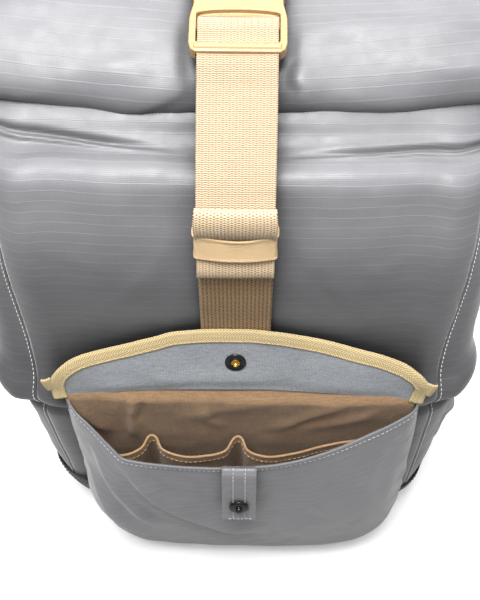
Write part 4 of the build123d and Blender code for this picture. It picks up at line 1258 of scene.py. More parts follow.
def flap_point(x, up, out):
    """World point on the flap, bowed with the bag's front."""
    bow = 5.5 * (x / 138) ** 2 * ease(up / 30) - 2.5 * ease(up / 55)
    curl = 2.2 * ease((np.abs(x) - 118) / 20) * ease(up / 20)
    base = FLAP_AT + (up[..., None] if np.ndim(up) else up) * FLAP_UP
    return base + x[..., None] * np.array([1.0, 0, 0]) + (out + bow + curl)[..., None] * FLAP_OUT


def flap_edge():
    """The flap's free edge in its own plane, from the left root corner round to the right."""
    x = np.linspace(FLAP_X[0], FLAP_X[-1], 200)
    top = np.stack([x, curve(x, FLAP_X, FLAP_TOP)], 1)
    left = np.array([[-135.0, -4.5], [-135.8, 1.0], [-136.0, 7.0]])
    right = np.array([[141.2, 12.0], [140.0, 4.0], [138.5, -4.0]])
    return np.r_[left, top, right]


def flap_relief(x, up):
    out = 0.55 * noise(x, up, 30, 131) + 0.22 * noise(x, up, 11, 132)
    out += folds(x, up, [
        ([(-120, 4), (-60, 12), (-20, 10)], 1.2, 7, 5, 0.4),
        ([(30, 10), (80, 8), (130, 4)], 1.1, 7, 5, 0.4),
        ([(-84, 26), (-40, 15), (6, 17), (44, 14)], 1.3, 9, 5, 0.3)])
    low = up - flap_root(x) - 2.5 * noise(x, 0 * x, 34, 133)
    out -= 1.5 * np.exp(-((low / 7.5) ** 2)) * ease((134 - np.abs(x)) / 20)
    return out


def flap_cloth():
    x, share = np.meshgrid(np.linspace(-133.5, 139.0, 150), np.linspace(0, 1, 40))
    top = curve(x, FLAP_X, FLAP_TOP) - 2.0
    root = flap_root(x)
    up = root + (top - root) * share
    p = flap_point(x, up, flap_relief(x, up) + 0.9)
    return p, np.stack([x, up], -1) * MM


b = Build()
b.sheet(*facing(*flap_cloth(), (20, 75), FLAP_OUT, 0), 1.8, 0, 1, 0)
place(b.make("flap_cloth", [FLAP_LINING, NYLON]), "flap", "flap_lining", "pocket_flap")


def flap_tape():
    """Herringbone tape folded over the free edge: flat inner part, rounded rim, flat outer part."""
    edge, run = resample(flap_edge(), 1.5)
    along = np.gradient(edge, axis=0)
    along /= np.linalg.norm(along, axis=1, keepdims=True)
    inward = np.stack([along[:, 1], -along[:, 0]], 1)
    reach = np.r_[np.linspace(BIND, 1.2, 14), 0.35, 0.0, 0.35, np.linspace(1.2, BIND, 9)]
    height = np.r_[1.75 * np.ones(12), 1.7, 1.45, 0.85, 0.0, -0.85, -1.45, -1.7 * np.ones(8)]
    height = height[:len(reach)]
    height[0] -= 0.4
    wobble = 0.25 * noise(run, 0 * run, 12, 141)
    x = edge[:, 0][None, :] + reach[:, None] * inward[:, 0][None, :]
    up = edge[:, 1][None, :] + reach[:, None] * inward[:, 1][None, :] + wobble[None, :]
    ridge = 0.35 * np.exp(-(((reach - 6.2) / 0.8) ** 2))[:, None] * (height > 0)[:, None]
    out = flap_relief(x, up) * 0.9 + height[:, None] + ridge + 0.3
    p = flap_point(x, up, out)
    across = np.r_[0, np.cumsum(np.hypot(np.diff(reach), np.diff(height)))]
    return p, np.stack(np.meshgrid(run * MM, across * MM), -1)


p_tape, uv_tape = facing(*flap_tape(), (5, 90), FLAP_OUT)
n_tape = grid_normals(p_tape)
b = Build()
b.sheet(p_tape, uv_tape, 0.55)
b.stitches(p_tape[2], n_tape[2], 1, length=2.3, gap=1.0, radius=0.24)
# The tape's ends are turned back outward as small ears at the two corners.
for side, x0, top in ((-1, -135.6, 20.0), (1, 140.4, 21.0)):
    k, u = np.meshgrid(np.linspace(0, 1, 9), np.linspace(7, top, 16), indexing="ij")
    ear_x = x0 + side * (-2.5 + 7.5 * k * (0.5 + 0.5 * ease(u / top)))
    ear = flap_point(ear_x, u, 1.2 + 2.6 * np.sin(k * 2.4))
    b.sheet(*facing(ear, np.stack([u, k * 9], -1) * MM, (4, 8), FLAP_OUT, 0), 1.5)
place(b.make("flap_binding_tape", [TAPE, TAN_THREAD]), "flap", "tan_binding", "flap_binding")


# ---- turned metal parts ----
def turned(build, profile, place_fn, sides=48):
    """Lathe a (radius, height) profile, with a cap over each end of it."""
    profile = np.asarray(profile, float)
    turn = np.linspace(0, 2 * math.pi, sides + 1)[:-1]
    r = np.maximum(profile[:, 0], 0.02)
    ring = np.stack([r[:, None] * np.cos(turn), r[:, None] * np.sin(turn),
                     np.broadcast_to(profile[:, 1][:, None], (len(r), sides))], -1)
    idx = np.arange(len(r) * sides).reshape(len(r), sides)
    nxt = np.roll(idx, -1, axis=1)
    quad = np.stack([idx[:-1], nxt[:-1], nxt[1:], idx[1:]], -1).reshape(-1, 4)
    caps = []
    for row, flip in ((idx[0], True), (idx[-1], False)):
        for k in range(sides // 2 - 1):
            q = [row[k], row[k + 1], row[sides - 2 - k], row[sides - 1 - k]]
            caps.append(q[::-1] if flip else q)
    points = place_fn(ring.reshape(-1, 3))
    uv = ring.reshape(-1, 3)[:, :2] * MM
    build.add(points, uv, np.r_[quad, np.array(caps)])


def on_flap(lift):
    def put(co):
        at = FLAP_AT + 33.0 * FLAP_UP + co[:, 0:1] * np.array([1.0, 0, 0])
        return at + co[:, 1:2] * FLAP_UP + (co[:, 2:3] + lift) * FLAP_OUT
    return put


SOCKET = [(3.1, 0.2), (3.1, 0.4), (3.2, 1.5), (3.5, 1.9), (4.1, 1.9), (4.6, 1.3), (5.3, 0.9),
          (6.1, 1.3), (6.9, 1.5), (7.5, 1.2), (7.7, 0.5), (7.5, 0.0), (5.0, -0.1), (3.1, 0.0)]
b = Build()
turned(b, np.r_[[[3.1, 0.1]], SOCKET, [[3.1, 0.1]]], on_flap(0.2))
place(b.make("flap_snap_socket_ring", [ENAMEL]), "flap", "snap_black", "flap_snap_socket")
b = Build()
turned(b, [(0.0, 0.3), (1.2, 0.3), (1.5, 0.9), (2.0, 1.5), (2.6, 1.5), (3.0, 0.9), (3.05, 0.2), (2.0, 0.0),
           (0.0, 0.0)], on_flap(0.2), 36)
SPRING = 2.9
for k in range(3):
    turn = k * math.pi * 2 / 3 + np.linspace(0, 1.7, 9)
    wire = on_flap(1.6)(np.stack([SPRING * np.cos(turn), SPRING * np.sin(turn), np.full(9, 0.1)], 1))
    b.tube(wire, 0.28, 6, 0, FLAP_OUT)
place(b.make("flap_snap_eyelet_tube", [BRASS]), "flap", "snap_brass", "flap_snap_eyelet")
b = Build()
turned(b, [(0.0, -1.1), (5.0, -1.1), (7.2, -1.5), (7.0, -2.4), (5.6, -3.5), (3.0, -4.1), (0.0, -4.2)],
       on_flap(0.1))
place(b.make("flap_snap_cap_dome", [ENAMEL]), "flap", "snap_black", "flap_snap_cap")


# ---- snap tab ----
TAB_LINE = [(-136.4, 201.5), (-137.6, 206.5), (-140.6, 209.4), (-143.8, 207.0), (-146.8, 191), (-149.4, 172),
            (-151.3, 160), (-152.9, 152), (-153.6, 143.5)]
TAB_X = 3.6


def tab():
    """Cloth tab folded over the lip: two layers, edges turned in, sewn down both sides."""
    line, run = resample(TAB_LINE, 0.9)
    x = np.r_[-12.9, np.linspace(-12.6, 12.6, 29), 12.9]
    gx, gr = np.meshgrid(x, run)
    p = np.stack(np.broadcast_arrays(gx + TAB_X, line[:, 0:1], line[:, 1:2]), -1)
    if (grid_normals(p)[-20, 15] @ np.array([0, -1, 0])) < 0:
        p = p[:, ::-1]
    edge = ease((12.9 - np.abs(gx)) / 1.4)
    out = 0.5 * edge - 0.35 * np.exp(-(((np.abs(gx) - 4.6) / 0.8) ** 2)) + 0.3 * noise(gx, gr, 9, 151)
    out += 0.45 * fold(gx, gr, [(-12, 34), (0, 30), (12, 35)], 1, 3, 3, 0)
    p = p + grid_normals(p) * out[..., None]
    return p, np.stack([gx, gr], -1) * MM


p_tab, uv_tab = tab()
n_tab = grid_normals(p_tab)
b = Build()
b.sheet(p_tab, uv_tab, 2.3)
for col in (10, -11):
    b.stitches(p_tab[10:-3, col], n_tab[10:-3, col], 1, length=2.2, gap=1.0, radius=0.24)
b.stitches(p_tab[-4, 4:-4], n_tab[-4, 4:-4], 1, length=2.2, gap=1.0, radius=0.24)
place(b.make("tab_cloth", [NYLON, THREAD]), "tab", "pack_cloth", "snap_tab")

STUD_LOW, STUD_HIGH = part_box("tab_snap_stud")
STUD_AT = np.array([TAB_X] + [(a + b) / 2 / MM for a, b in zip(STUD_LOW, STUD_HIGH)][1:])
TAB_OUT = np.array([0.0, -0.988, 0.152]) / np.linalg.norm([0.988, 0.152])
TAB_UP = np.array([0.0, 0.152, 0.988]) / np.linalg.norm([0.988, 0.152])


def on_tab(lift):
    def put(co):
        return (STUD_AT + co[:, 0:1] * np.array([1.0, 0, 0]) + co[:, 1:2] * TAB_UP
                + (co[:, 2:3] + lift) * TAB_OUT)
    return put


b = Build()
STUD = [(0.0, -1.0), (4.0, -1.0), (7.3, -0.8), (7.7, -0.2), (7.5, 0.5), (6.6, 1.0), (5.2, 1.3),
        (3.2, 1.4), (2.5, 1.8), (2.9, 2.4), (3.0, 3.2), (2.4, 4.0), (1.4, 4.4), (0.0, 4.4)]
turned(b, STUD, on_tab(-1.6))
place(b.make("tab_snap_stud_dome", [ENAMEL]), "tab", "snap_black", "tab_snap_stud")
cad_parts["tab_snap_post"].data.materials.clear()
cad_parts["tab_snap_post"].data.materials.append(BRASS)


# ---- side pockets ----
POCKET_LOW, POCKET_HIGH = 38.0, 212.0
PLAN_LOW = [(156.5, -72.5), (166.5, -60), (174.5, -38), (177, -6), (176, 36), (170, 62), (158, 75)]
PLAN_HIGH = [(164, -77), (174, -65), (181.5, -44), (184, -8), (182.5, 34), (175, 62), (160, 82)]


def side_pocket_surface(wide, droop):
    """Slack right side pocket: it stands away from the side at its mouth. wide pushes it outward."""
    foot = POCKET_LOW + 6
    z = np.r_[np.linspace(POCKET_LOW - 6, foot, 6)[:-1], np.linspace(foot, POCKET_HIGH, 84)]
    rows = []
    for height in z:
        share = (height - POCKET_LOW) / (POCKET_HIGH - POCKET_LOW)
        rise = ease(share) * 0.5 + 0.5 * np.clip(share, 0, 1)
        plan = np.array(PLAN_LOW) * (1 - rise) + np.array(PLAN_HIGH) * rise
        line, run = resample(plan, 1.5)
        at = np.linspace(0, run[-1], 92)
        x, y = np.interp(at, run, line[:, 0]), np.interp(at, run, line[:, 1])
        rows.append(np.stack([x + drift(height), y, np.full(92, height)], -1))
    p = np.array(rows)
    y, h = p[..., 1], p[..., 2]
    out = 1.0 * noise(y, h, 38, 171) + 0.5 * noise(y, h, 15, 172) + 0.14 * noise(y, h, 6, 173)
    out += folds(y, h, [
        ([(-78, 196), (-52, 150), (-40, 88)], 2.4, 9, 5, 0.35),
        ([(-84, 130), (-60, 120), (-36, 128)], 2.0, 4.5, 7, 0.35),
        ([(-82, 162), (-62, 158), (-46, 166)], 1.8, 4, 6, 0.35),
        ([(-78, 96), (-58, 86), (-30, 92)], 1.7, 4, 6, 0.35),
        ([(20, 204), (34, 140), (60, 80)], 1.8, 8, 6, 0.35),
        ([(-20, 60), (20, 66), (52, 58)], 1.5, 6, 6, 0.4)])
    sag = -droop * np.exp(-(((y + 12) / 55) ** 2)) * ease((h - 130) / 82)
    col = np.arange(92)
    edge = ease(np.minimum(col, 91 - col) / 7.0)[None, :]
    p = p + grid_normals(p) * ((out * ease((h - POCKET_LOW) / 18) + wide) * edge)[..., None]
    p[..., 2] += sag
    return p


for name, wide, droop in (("right", 0.0, 3.2), ("left", -5.0, 10.0)):
    p = side_pocket_surface(wide, droop)
    p, uv = facing(p, panel_uv(p), (50, 45), (1, 0, 0))
    if name == "left":
        p, uv = mirrored(p, uv)
    n = grid_normals(p)
    b = Build()
    b.sheet(p, uv, 1.2)
    for col in (2, -3):
        b.stitches(p[6:-4, col], n[6:-4, col], 1, length=2.4, gap=1.2, radius=0.25)
    b.stitches(p[6], n[6], 1, length=2.4, gap=1.2, radius=0.25)
    place(b.make("side_pocket_cloth_" + name, [NYLON, THREAD]), "bag", "pack_cloth", "side_pocket_" + name)
    # Tape folded over the mouth, both faces in one section.
    top = p[-1]
    step = np.gradient(top, axis=0)
    step /= np.linalg.norm(step, axis=1, keepdims=True)
    face = n[-3]
    up = np.cross(face, step)
    up *= np.sign(up[:, 2:3])
    hem, across = resample([(1.0, -9.5), (1.15, -6), (1.1, -1.5), (0.8, -0.2), (0, 0.7), (-1.2, 0.7),
                            (-2.2, -0.3), (-2.5, -2), (-2.5, -6), (-2.4, -9)], 0.6)
    tape = (top[None] + hem[:, 0][:, None, None] * face[None] + hem[:, 1][:, None, None] * up[None])
    along = np.r_[0, np.cumsum(np.linalg.norm(np.diff(top, axis=0), axis=1))]
    tape, uv = facing(tape, np.stack(np.meshgrid(along * MM, across * MM), -1), (3, 45), face[45])
    b = Build()
    b.sheet(tape, uv, 0.5)
    b.stitches(tape[3], grid_normals(tape)[3], 1, length=2.3, gap=1.0, radius=0.24)
    tape = b.make("side_pocket_tape_" + name, [TAPE, TAN_THREAD])
    place(tape, "bag", "tan_binding", "side_pocket_binding_" + name)


# ---- padded pieces, blown up by cloth simulation ----
def pillow(outline, front, thick, bulge):
    """Closed pad from a smooth outline in (x, z): a crowned outer face on a flat inner face at Y = front."""
    edge = resample(np.r_[outline, [outline[0]]], 4.0)[0][:-1]
    centre = edge.mean(axis=0)
    outer = np.r_[np.linspace(0.03, 0.9, 16), 0.95, 0.985, 1.0]
    heights = thick * (1 - outer ** 6) ** 0.5 * 0.96 + bulge * (1 - outer ** 2)
    rings = []
    for share, height in zip(np.r_[outer, 0.985, 0.9, 0.6, 0.3, 0.03], np.r_[heights, np.zeros(5)]):
        flat = centre + (edge - centre) * share
        rings.append(np.stack([flat[:, 0], np.full(len(edge), front + height), flat[:, 1]], -1))
    return np.array(rings)


def closed_rings(rings, name, material):
    """Object from a stack of closed rings, capped at both ends, in metres."""
    count, around = rings.shape[:2]
    points = [tuple(v * MM) for v in rings.reshape(-1, 3)]
    points += [tuple(rings[0].mean(axis=0) * MM), tuple(rings[-1].mean(axis=0) * MM)]
    faces = []
    for i in range(count - 1):
        for j in range(around):
            k = (j + 1) % around
            faces.append((i * around + j, i * around + k, (i + 1) * around + k, (i + 1) * around + j))
    for j in range(around):
        k = (j + 1) % around
        faces.append((count * around, k, j))
        faces.append((count * around + 1, (count - 1) * around + j, (count - 1) * around + k))
    mesh = bpy.data.meshes.new(name)
    mesh.from_pydata(points, [], faces)
    bm = bmesh.new()
    bm.from_mesh(mesh)
    bmesh.ops.recalc_face_normals(bm, faces=bm.faces)
    bm.to_mesh(mesh)
    bm.free()
    mesh.polygons.foreach_set("use_smooth", np.full(len(mesh.polygons), True))
    mesh.materials.append(material)
    obj = bpy.data.objects.new(name, mesh)
    bpy.context.collection.objects.link(obj)
    return obj


def points_of(obj):
    co = np.empty(len(obj.data.vertices) * 3)
    obj.data.vertices.foreach_get("co", co)
    return co.reshape(-1, 3)


def set_points(obj, co):
    obj.data.vertices.foreach_set("co", np.asarray(co, float).ravel())
    obj.data.update()


def inflate(obj, voxel, cap, pinned, pressure=4.0, frames=14):
    """Remesh, pin part of it, blow it up with cloth pressure, cap how far a point moves, and apply."""
    use(obj, "REMESH", mode="VOXEL", voxel_size=voxel)
    applied(obj)
    material = obj.data.materials[0] if obj.data.materials else MESH_CLOTH
    start = points_of(obj)
    group = obj.vertex_groups.new(name="pin")
    for i in np.flatnonzero(pinned(start / MM)):
        group.add([int(i)], 1.0, "REPLACE")
    mod = use(obj, "CLOTH")
    cloth = mod.settings
    cloth.quality, cloth.mass = 5, 0.3
    cloth.tension_stiffness = cloth.compression_stiffness = 12
    cloth.shear_stiffness, cloth.bending_stiffness = 6, 0.6
    cloth.use_pressure, cloth.uniform_pressure_force = True, pressure
    cloth.effector_weights.gravity = 0
    cloth.vertex_group_mass = "pin"
    mod.point_cache.frame_start, mod.point_cache.frame_end = 1, frames
    for f in range(1, frames + 1):
        bpy.context.scene.frame_set(f)
    graph = bpy.context.evaluated_depsgraph_get()
    mesh = bpy.data.meshes.new_from_object(obj.evaluated_get(graph))
    obj.modifiers.clear()
    obj.data = mesh
    bpy.context.scene.frame_set(1)
    move = points_of(obj) - start
    far = np.linalg.norm(move, axis=1, keepdims=True)
    set_points(obj, start + move * np.minimum(1, cap * MM / np.maximum(far, 1e-9)))
    obj.vertex_groups.clear()
    obj.data.materials.clear()
    obj.data.materials.append(material)
    use(obj, "SMOOTH", factor=0.5, iterations=3)
    use(obj, "SUBSURF", levels=1, render_levels=1)
    applied(obj)
    obj.data.polygons.foreach_set("use_smooth", np.full(len(obj.data.polygons), True))
    return obj


def press_channels(obj, lines, deep, wide, front):
    """Sew quilting channels into the outer face of a pad: lines are point lists in (x, z)."""
    co = points_of(obj) / MM
    x, z = co[:, 0], co[:, 2]
    dent = np.zeros(len(co))
    for line in lines:
        dent = np.maximum(dent, fold(x, z, line, deep, wide, wide, 0))
    co[:, 1] -= dent * ease((co[:, 1] - front - 1.0) / 5.0)
    set_points(obj, co * MM)


def on_surface(obj, line):
    """Drop (x, z) points onto the outer face of a pad, looking along -Y. Gives points in mm."""
    bpy.context.view_layer.update()
    path = []
    for x, z in line:
        hit, at, _, _ = obj.ray_cast(Vector((x, 200.0, z)) * MM, Vector((0, -1, 0)))
        if hit:
            path.append((at.x / MM, at.y / MM, at.z / MM))
    return np.array(path)


def piping(name, outline, y, radius, material, body, slot):
    """Corded edge round a pad."""
    line, _ = resample(np.r_[outline, [outline[0]]], 3.0)
    path = np.stack([line[:, 0], np.full(len(line), y), line[:, 1]], 1)
    b = Build()
    b.tube(np.r_[path, path[:2]], radius, 8, 0, (0, 1, 0))
    return place(b.make(name, [material]), body, slot)


PAD_FRONT = 95.3
pads = [("lumbar_pad", rounded(-104, 104, 44, 102, 22), [[(x, 48), (x, 98)] for x in (-52, 0, 52)])]
for side, name in ((-1, "left"), (1, "right")):
    low, high = sorted((side * 15, side * 104))
    channels = [[(side * x, 130), (side * x, 338)] for x in (36, 83)]
    channels += [[(side * 15, z), (side * 104, z)] for z in (194, 274)]
    pads.insert(0, ("back_pad_" + name, rounded(low, high, 114, 354, 22), channels))
for node, outline, channels in pads:
    pad = closed_rings(pillow(outline, PAD_FRONT, 6.6, 1.6), node + "_cover", MESH_CLOTH)
    inflate(pad, 0.0042, 5.0, lambda co: co[:, 1] < PAD_FRONT + 1.4)
    press_channels(pad, channels, 3.6, 2.6, PAD_FRONT)
    co = points_of(pad) / MM
    co[:, 1] = np.maximum(co[:, 1], PAD_FRONT - 0.2)
    set_points(pad, co * MM)
    place(pad, "bag", "mesh", node)
    piping(node + "_piping", outline, PAD_FRONT + 1.2, 1.5, BLACK_WEB, "bag", "mesh")
    rows = Build()
    for line in channels:
        fine, _ = resample(line, 2.5)
        path = on_surface(pad, fine)
        if len(path) > 4:
            facing_back = np.tile([0.0, 1.0, 0.0], (len(path), 1))
            rows.stitches(path + np.array([0, 0.15, 0]), facing_back, 0, 2.6, 1.3, 0.28)
    place(rows.make(node + "_stitching", [DARK_THREAD]), "bag", "mesh")

# ---- shoulder straps ----
H_X, H_TOP, SPLAY = 62.0, 384.0, math.radians(10)
H_PATH = [(103, 384), (114, 396), (127, 385), (138, 330), (137, 260), (129, 198)]


def harness(co, side):
    """Strap-plane points (x, y, z) to the world on the given side."""
    x = H_X + co[..., 0] * math.cos(SPLAY) - (co[..., 2] - H_TOP) * math.sin(SPLAY)
    z = H_TOP + co[..., 0] * math.sin(SPLAY) + (co[..., 2] - H_TOP) * math.cos(SPLAY)
    return np.stack([side * x, co[..., 1], z], -1)


def harness_frames(step):
    line, run = resample(H_PATH, step)
    along = np.gradient(line, axis=0)
    along /= np.linalg.norm(along, axis=1, keepdims=True)
    return line, run, along, np.stack([-along[:, 1], along[:, 0]], 1)


def strap_width(share):
    """Share of the full width along the padded strap."""
    return (0.94 + 0.06 * ease(share / 0.2)) * (1 - 0.2 * ease((share - 0.7) / 0.3))


def strap_rings():
    """Closed sections of the padded strap, narrower and thinner at both ends."""
    line, run, _, out = harness_frames(4.0)
    rings = []
    turn = np.linspace(0, 2 * math.pi, 41)[:-1]
    for k in range(len(line)):
        share = run[k] / run[-1]
        wide = 29.5 * strap_width(share)
        deep = 4.6 * (0.45 + 0.55 * ease(share / 0.1)) * (1 - 0.35 * ease((share - 0.92) / 0.08))
        c, s = np.cos(turn), np.sin(turn)
        x = wide * np.sign(c) * np.abs(c) ** 0.45
        o = deep * np.sign(s) * np.abs(s) ** 0.8
        rings.append(np.stack([x, line[k, 0] + o * out[k, 0], line[k, 1] + o * out[k, 1]], -1))
    return np.array(rings)


for side, name in ((1, "right"), (-1, "left")):
    body = "strap_" + name
    rings = harness(strap_rings(), side)
    strap = closed_rings(rings, "shoulder_strap_cover_" + name, MESH_CLOTH)
    ends = np.array([rings[0].mean(axis=0), rings[-1].mean(axis=0)])
    inflate(strap, 0.0045, 3.0, lambda co: (np.linalg.norm(co - ends[0], axis=1) < 34) & (co[:, 2] < 389)
            | (np.linalg.norm(co - ends[1], axis=1) < 12), 3.0, 12)
    place(strap, body, "mesh", "shoulder_strap_" + name)
    # Bound edges, webbing down the middle, and the loop that holds the adjuster.
    line, run, along, out = harness_frames(2.0)
    b = Build()
    for edge in (-30.4, 30.4):
        cord = np.stack([edge * strap_width(run / run[-1]), line[:, 0], line[:, 1]], -1)
        b.tube(harness(cord, side), 1.7, 8, 0, (0, 1, 0))
    place(b.make("shoulder_strap_piping_" + name, [BLACK_WEB]), body, "mesh")
    tip, away, normal = line[-1], along[-1], out[-1]
    loop_c = tip + away * 9.0
    web = [line[k] + out[k] * 6.6 for k in range(len(line) // 2, len(line) - 6, 4)]
    bend = [loop_c + 3.1 * (math.cos(t) * normal + math.sin(t) * away) for t in np.linspace(0, math.pi, 9)]
    path = web + [tip + normal * 3.6, loop_c - away * 3 + normal * 3.0] + bend
    path += [loop_c - away * 6 - normal * 2.0, tip - away * 10 - normal * 1.0]
    wl, wrun = resample(path, 1.3)
    x = np.linspace(-12.5, 12.5, 25)
    p = harness(np.stack(np.broadcast_arrays(x[None, :], wl[:, 0:1], wl[:, 1:2]), -1), side)
    if grid_normals(p)[len(wl) // 6, 12] @ np.array([0, 1, 0]) < 0:
        p = p[:, ::-1]
    p = p + grid_normals(p) * (0.14 * (-1.0) ** np.arange(len(wl)))[:, None, None]
    b = Build()
    b.sheet(p, np.stack(np.meshgrid((x + 12.5) * MM, wrun * MM), -1), 1.3)
    n = grid_normals(p)
    for row in (4, 10):
        b.stitches(p[row, 2:-2], n[row, 2:-2], 1, 2.2, 0.9, 0.26)
    place(b.make("shoulder_strap_webbing_" + name, [BLACK_WEB, DARK_THREAD]), body, "black_webbing")

    # Ladder lock: rounded plastic frame with ribbed grip bars, in the CAD's place.
    def lock_place(co, side=side, away=away, normal=normal, origin=loop_c):
        yz = origin + co[:, 1:2] * away + co[:, 2:3] * normal
        return harness(np.stack([co[:, 0], yz[:, 0], yz[:, 1]], -1), side)

    shell = [(-17, -2.8), (17, -2.8), (19, -1), (19, 22), (16.5, 26.6), (-16.5, 26.6), (-19, 22), (-19, -1)]
    cuts = [solid("box", (26.8, 4.2, 9), (0, 4.1, 0)), solid("box", (26.8, 5.2, 9), (0, 12.0, 0)),
            solid("box", (26.8, 5.0, 9), (0, 20.1, 0))]
    adds = [prism(shell, -2.4, 2.4), solid("rod", (3.8, 3.8, 34), (0, 0, 0), (0, math.pi / 2, 0)),
            solid("box", (34, 1.6, 1.4), (0, 24.6, 2.5))]
    lock = moulding("ladder_lock_frame_" + name, adds, cuts, BLACK, lock_place, 0.45, 5)
    place(lock, "lock_" + name, "black_plastic", "ladder_lock_" + name)


# ---- lower webbing, corner wings, yoke and handle ----
def flat_web(stations, half, seed):
    """Webbing through (x, y, z) stations; its width stays level. Returns grid and UVs."""
    line, run = resample(stations, 1.0)
    along = np.gradient(line, axis=0)
    along /= np.linalg.norm(along, axis=1, keepdims=True)
    wide = np.array([[1.0, 0, 0]]) - along * along[:, 0:1]
    wide /= np.linalg.norm(wide, axis=1, keepdims=True)
    x = np.linspace(-half, half, int(half * 2 / 1.05) | 1)
    p = line[:, None] + x[None, :, None] * wide[:, None]
    rib = 0.13 * (-1.0) ** np.arange(len(line))
    n = grid_normals(p)
    p = p + n * (rib[:, None] + 0.2 * noise(*np.meshgrid(x, run), 18, seed))[..., None]
    return p, np.stack(np.meshgrid((x + half) * MM, run * MM), -1)


STATIONS = [(97.5, 124.5, 171), (100.8, 120.6, 160), (113, 116.5, 124), (126, 107, 88), (134, 99, 58)]
for side, name in ((1, "right"), (-1, "left")):
    p, uv = flat_web([(side * x, y, z) for x, y, z in STATIONS], 12.3, 191)
    b = Build()
    b.sheet(*facing(p, uv, (30, 10), (0, 1, 0.2)), 1.5)
    place(b.make("lower_strap_" + name, [BLACK_WEB]), None, "black_webbing", "lower_webbing_" + name,
          bend=("bag", "strap_" + name, (side * 134, 99, 60), (side * 101, 120, 158)))
    # Wing: folded cloth triangle, stitched down along two edges.
    corners = np.array([(119, 29), (145, 25), (145, 103), (133, 78)], float)
    u, v = np.meshgrid(np.linspace(0, 1, 15), np.linspace(0, 1, 41))
    shares = ((1 - u) * (1 - v), u * (1 - v), u * v, (1 - u) * v)
    flat = sum(share[..., None] * corner for share, corner in zip(shares, corners))
    y = 95.3 + 0.5 * noise(flat[..., 0], flat[..., 1], 14, 201) + 0.5 * np.sin(math.pi * u)
    p, uv = facing(np.stack([side * flat[..., 0], y, flat[..., 1]], -1), flat * MM, (20, 7), (0, 1, 0))
    n = grid_normals(p)
    b = Build()
    b.sheet(p, uv, 1.7)
    for col in (1, -2):
        b.stitches(p[2:-2, col], n[2:-2, col], 1, 2.3, 1.1, 0.26)
    place(b.make("corner_wing_" + name, [BOOT, DARK_THREAD]), "bag", "boot_cloth", "webbing_wing_" + name)

x_share, z_share = np.meshgrid(np.linspace(-1, 1, 113), np.linspace(0, 1, 33))
half_at = 111 - 16 * z_share
yoke_x, yoke_z = x_share * half_at, 373 + 52 * z_share
yoke_y = 96.0 + 0.35 * noise(yoke_x, yoke_z, 22, 211) - 0.6 * (1 - ease((1 - np.abs(x_share)) / 0.03))
yoke_y -= 0.6 * (1 - ease(np.minimum(z_share, 1 - z_share) / 0.06))
p, uv = np.stack([yoke_x, yoke_y, yoke_z], -1), np.stack([yoke_x, yoke_z], -1) * MM
p, uv = facing(p, uv, (16, 56), (0, 1, 0))
n = grid_normals(p)
b = Build()
b.sheet(p, uv, 2.6)
for row in (2, -3):
    b.stitches(p[row, 2:-2], n[row, 2:-2], 1, 2.4, 1.2, 0.27)
for col in (2, -3):
    b.stitches(p[3:-3, col], n[3:-3, col], 1, 2.4, 1.2, 0.27)
place(b.make("yoke_cloth", [BOOT, DARK_THREAD]), "bag", "boot_cloth", "yoke")

HANDLE_AT, H_LEAN = np.array([0.0, 100.6, 421.5]), math.radians(35)
H_OUT = np.array([0.0, -math.cos(H_LEAN), math.sin(H_LEAN)])
H_UP = np.array([0.0, math.sin(H_LEAN), math.cos(H_LEAN)])
turn = np.linspace(math.pi, 0, 110)
arch_x, arch_u = 50.0 * np.cos(turn), 31.5 * np.sin(turn) ** 0.85
mid = HANDLE_AT + arch_x[:, None] * np.array([1.0, 0, 0]) + (arch_u + 0.5)[:, None] * H_UP
radial = np.stack([np.cos(turn), np.sin(turn)], 1)
around = radial[:, 0:1] * np.array([1.0, 0, 0]) + radial[:, 1:2] * H_UP
w = np.linspace(-11.6, 11.6, 23)
rib = 0.14 * (-1.0) ** np.arange(len(turn))
p = mid[:, None] + w[None, :, None] * around[:, None] + rib[:, None, None] * H_OUT
run = np.r_[0, np.cumsum(np.linalg.norm(np.diff(mid, axis=0), axis=1))]
uv = np.stack(np.meshgrid((w + 11.6) * MM, run * MM), -1)
p, uv = facing(p, uv, (50, 10), H_OUT)
b = Build()
b.sheet(p + 1.1 * H_OUT, uv, 2.2)
place(b.make("haul_loop_webbing", [WEBBING]), "handle", "tan_webbing", "haul_handle")
b = Build()
for side in (-1, 1):
    p, uv = flat_web([(side * 50, 98.9, 421), (side * 50, 98.5, 412), (side * 50, 98.0, 404)], 12.0, 221)
    p, uv = facing(p, uv, (8, 10), (0, 1, 0))
    n = grid_normals(p)
    b.sheet(p, uv, 1.8)
    rows = np.arange(3, len(p) - 3)
    cols = np.linspace(3, p.shape[1] - 4, len(rows)).astype(int)
    for at in ((3, slice(2, -2)), (-4, slice(2, -2)), (rows, cols), (rows, cols[::-1])):
        b.stitches(p[at], n[at], 1, 2.0, 0.7, 0.28)
place(b.make("haul_loop_feet", [WEBBING, TAN_THREAD]), "bag", "tan_webbing", "handle_anchors")


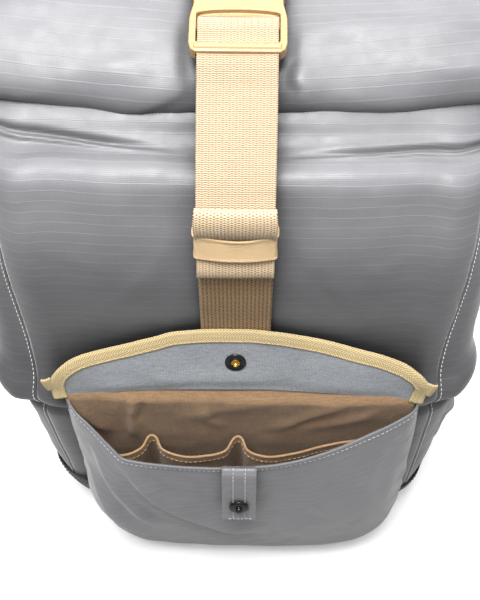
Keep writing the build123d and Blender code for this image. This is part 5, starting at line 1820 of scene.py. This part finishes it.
# ---- stage ----
def studio():
    """Pale floor, soft lights and the camera."""
    mesh = bpy.data.meshes.new("floor")
    size = 60.0
    corners = [(-size, -size, 0), (size, -size, 0), (size, size, 0), (-size, size, 0)]
    mesh.from_pydata(corners, [], [(0, 1, 2, 3)])
    floor = bpy.data.objects.new("floor", mesh)
    bpy.context.collection.objects.link(floor)
    m = Nodes("floor_paper", 0.9)
    seen = m.tree.nodes.new("ShaderNodeLightPath").outputs["Is Camera Ray"]
    m.put("Base Color", m.blend(seen, (0.34, 0.34, 0.34, 1), (0.93, 0.93, 0.93, 1)))
    m.put("Emission Color", (1, 1, 1, 1))
    m.put("Emission Strength", m.math("MULTIPLY", seen, 0.13))
    m.put("Specular IOR Level", 0.1)
    floor.data.materials.append(m.material)
    world = bpy.data.worlds.new("studio")
    bpy.context.scene.world = world
    world.use_nodes = True
    tree = world.node_tree
    coord = tree.nodes.new("ShaderNodeTexCoord")
    split = tree.nodes.new("ShaderNodeSeparateXYZ")
    sky = tree.nodes.new("ShaderNodeMapRange")
    path = tree.nodes.new("ShaderNodeLightPath")
    seen = tree.nodes.new("ShaderNodeMath")
    seen.operation = "MAXIMUM"
    for socket, value in (("From Min", 0.0), ("From Max", 1.0), ("To Min", 0.08), ("To Max", 1.2)):
        sky.inputs[socket].default_value = value
    tree.links.new(coord.outputs["Generated"], split.inputs[0])
    tree.links.new(split.outputs[2], sky.inputs["Value"])
    tree.links.new(sky.outputs[0], seen.inputs[0])
    tree.links.new(path.outputs["Is Camera Ray"], seen.inputs[1])
    tree.links.new(seen.outputs[0], tree.nodes["Background"].inputs[1])
    tree.nodes["Background"].inputs[0].default_value = (1, 1, 1, 1)
    lamps = [("key", (-0.12, -0.3, 1.55), (0, -0.03, 0.4), 0.6, 27),
             ("rear", (0.15, 0.7, 1.35), (0, 0, 0.45), 0.9, 9)]
    for name, at, to, wide, power in lamps:
        light = bpy.data.lights.new(name, "AREA")
        light.size, light.energy = wide, power
        lamp = bpy.data.objects.new(name, light)
        bpy.context.collection.objects.link(lamp)
        lamp.location = at
        lamp.rotation_euler = (Vector(to) - Vector(at)).to_track_quat("-Z", "Y").to_euler()
    cam = bpy.data.cameras.new("camera")
    camera = bpy.data.objects.new("camera", cam)
    bpy.context.collection.objects.link(camera)
    cam.sensor_fit, cam.sensor_height, cam.lens = "VERTICAL", 36.0, 53.64
    camera.location = (0.009, -0.416, 0.819)
    turn = math.radians(1.0)
    look = Vector((-math.sin(turn) * 0.574, math.cos(turn) * 0.574, -0.819))
    camera.rotation_euler = look.to_track_quat("-Z", "Y").to_euler()
    bpy.context.scene.camera = camera
    bpy.context.scene.view_settings.view_transform = "Standard"


studio()
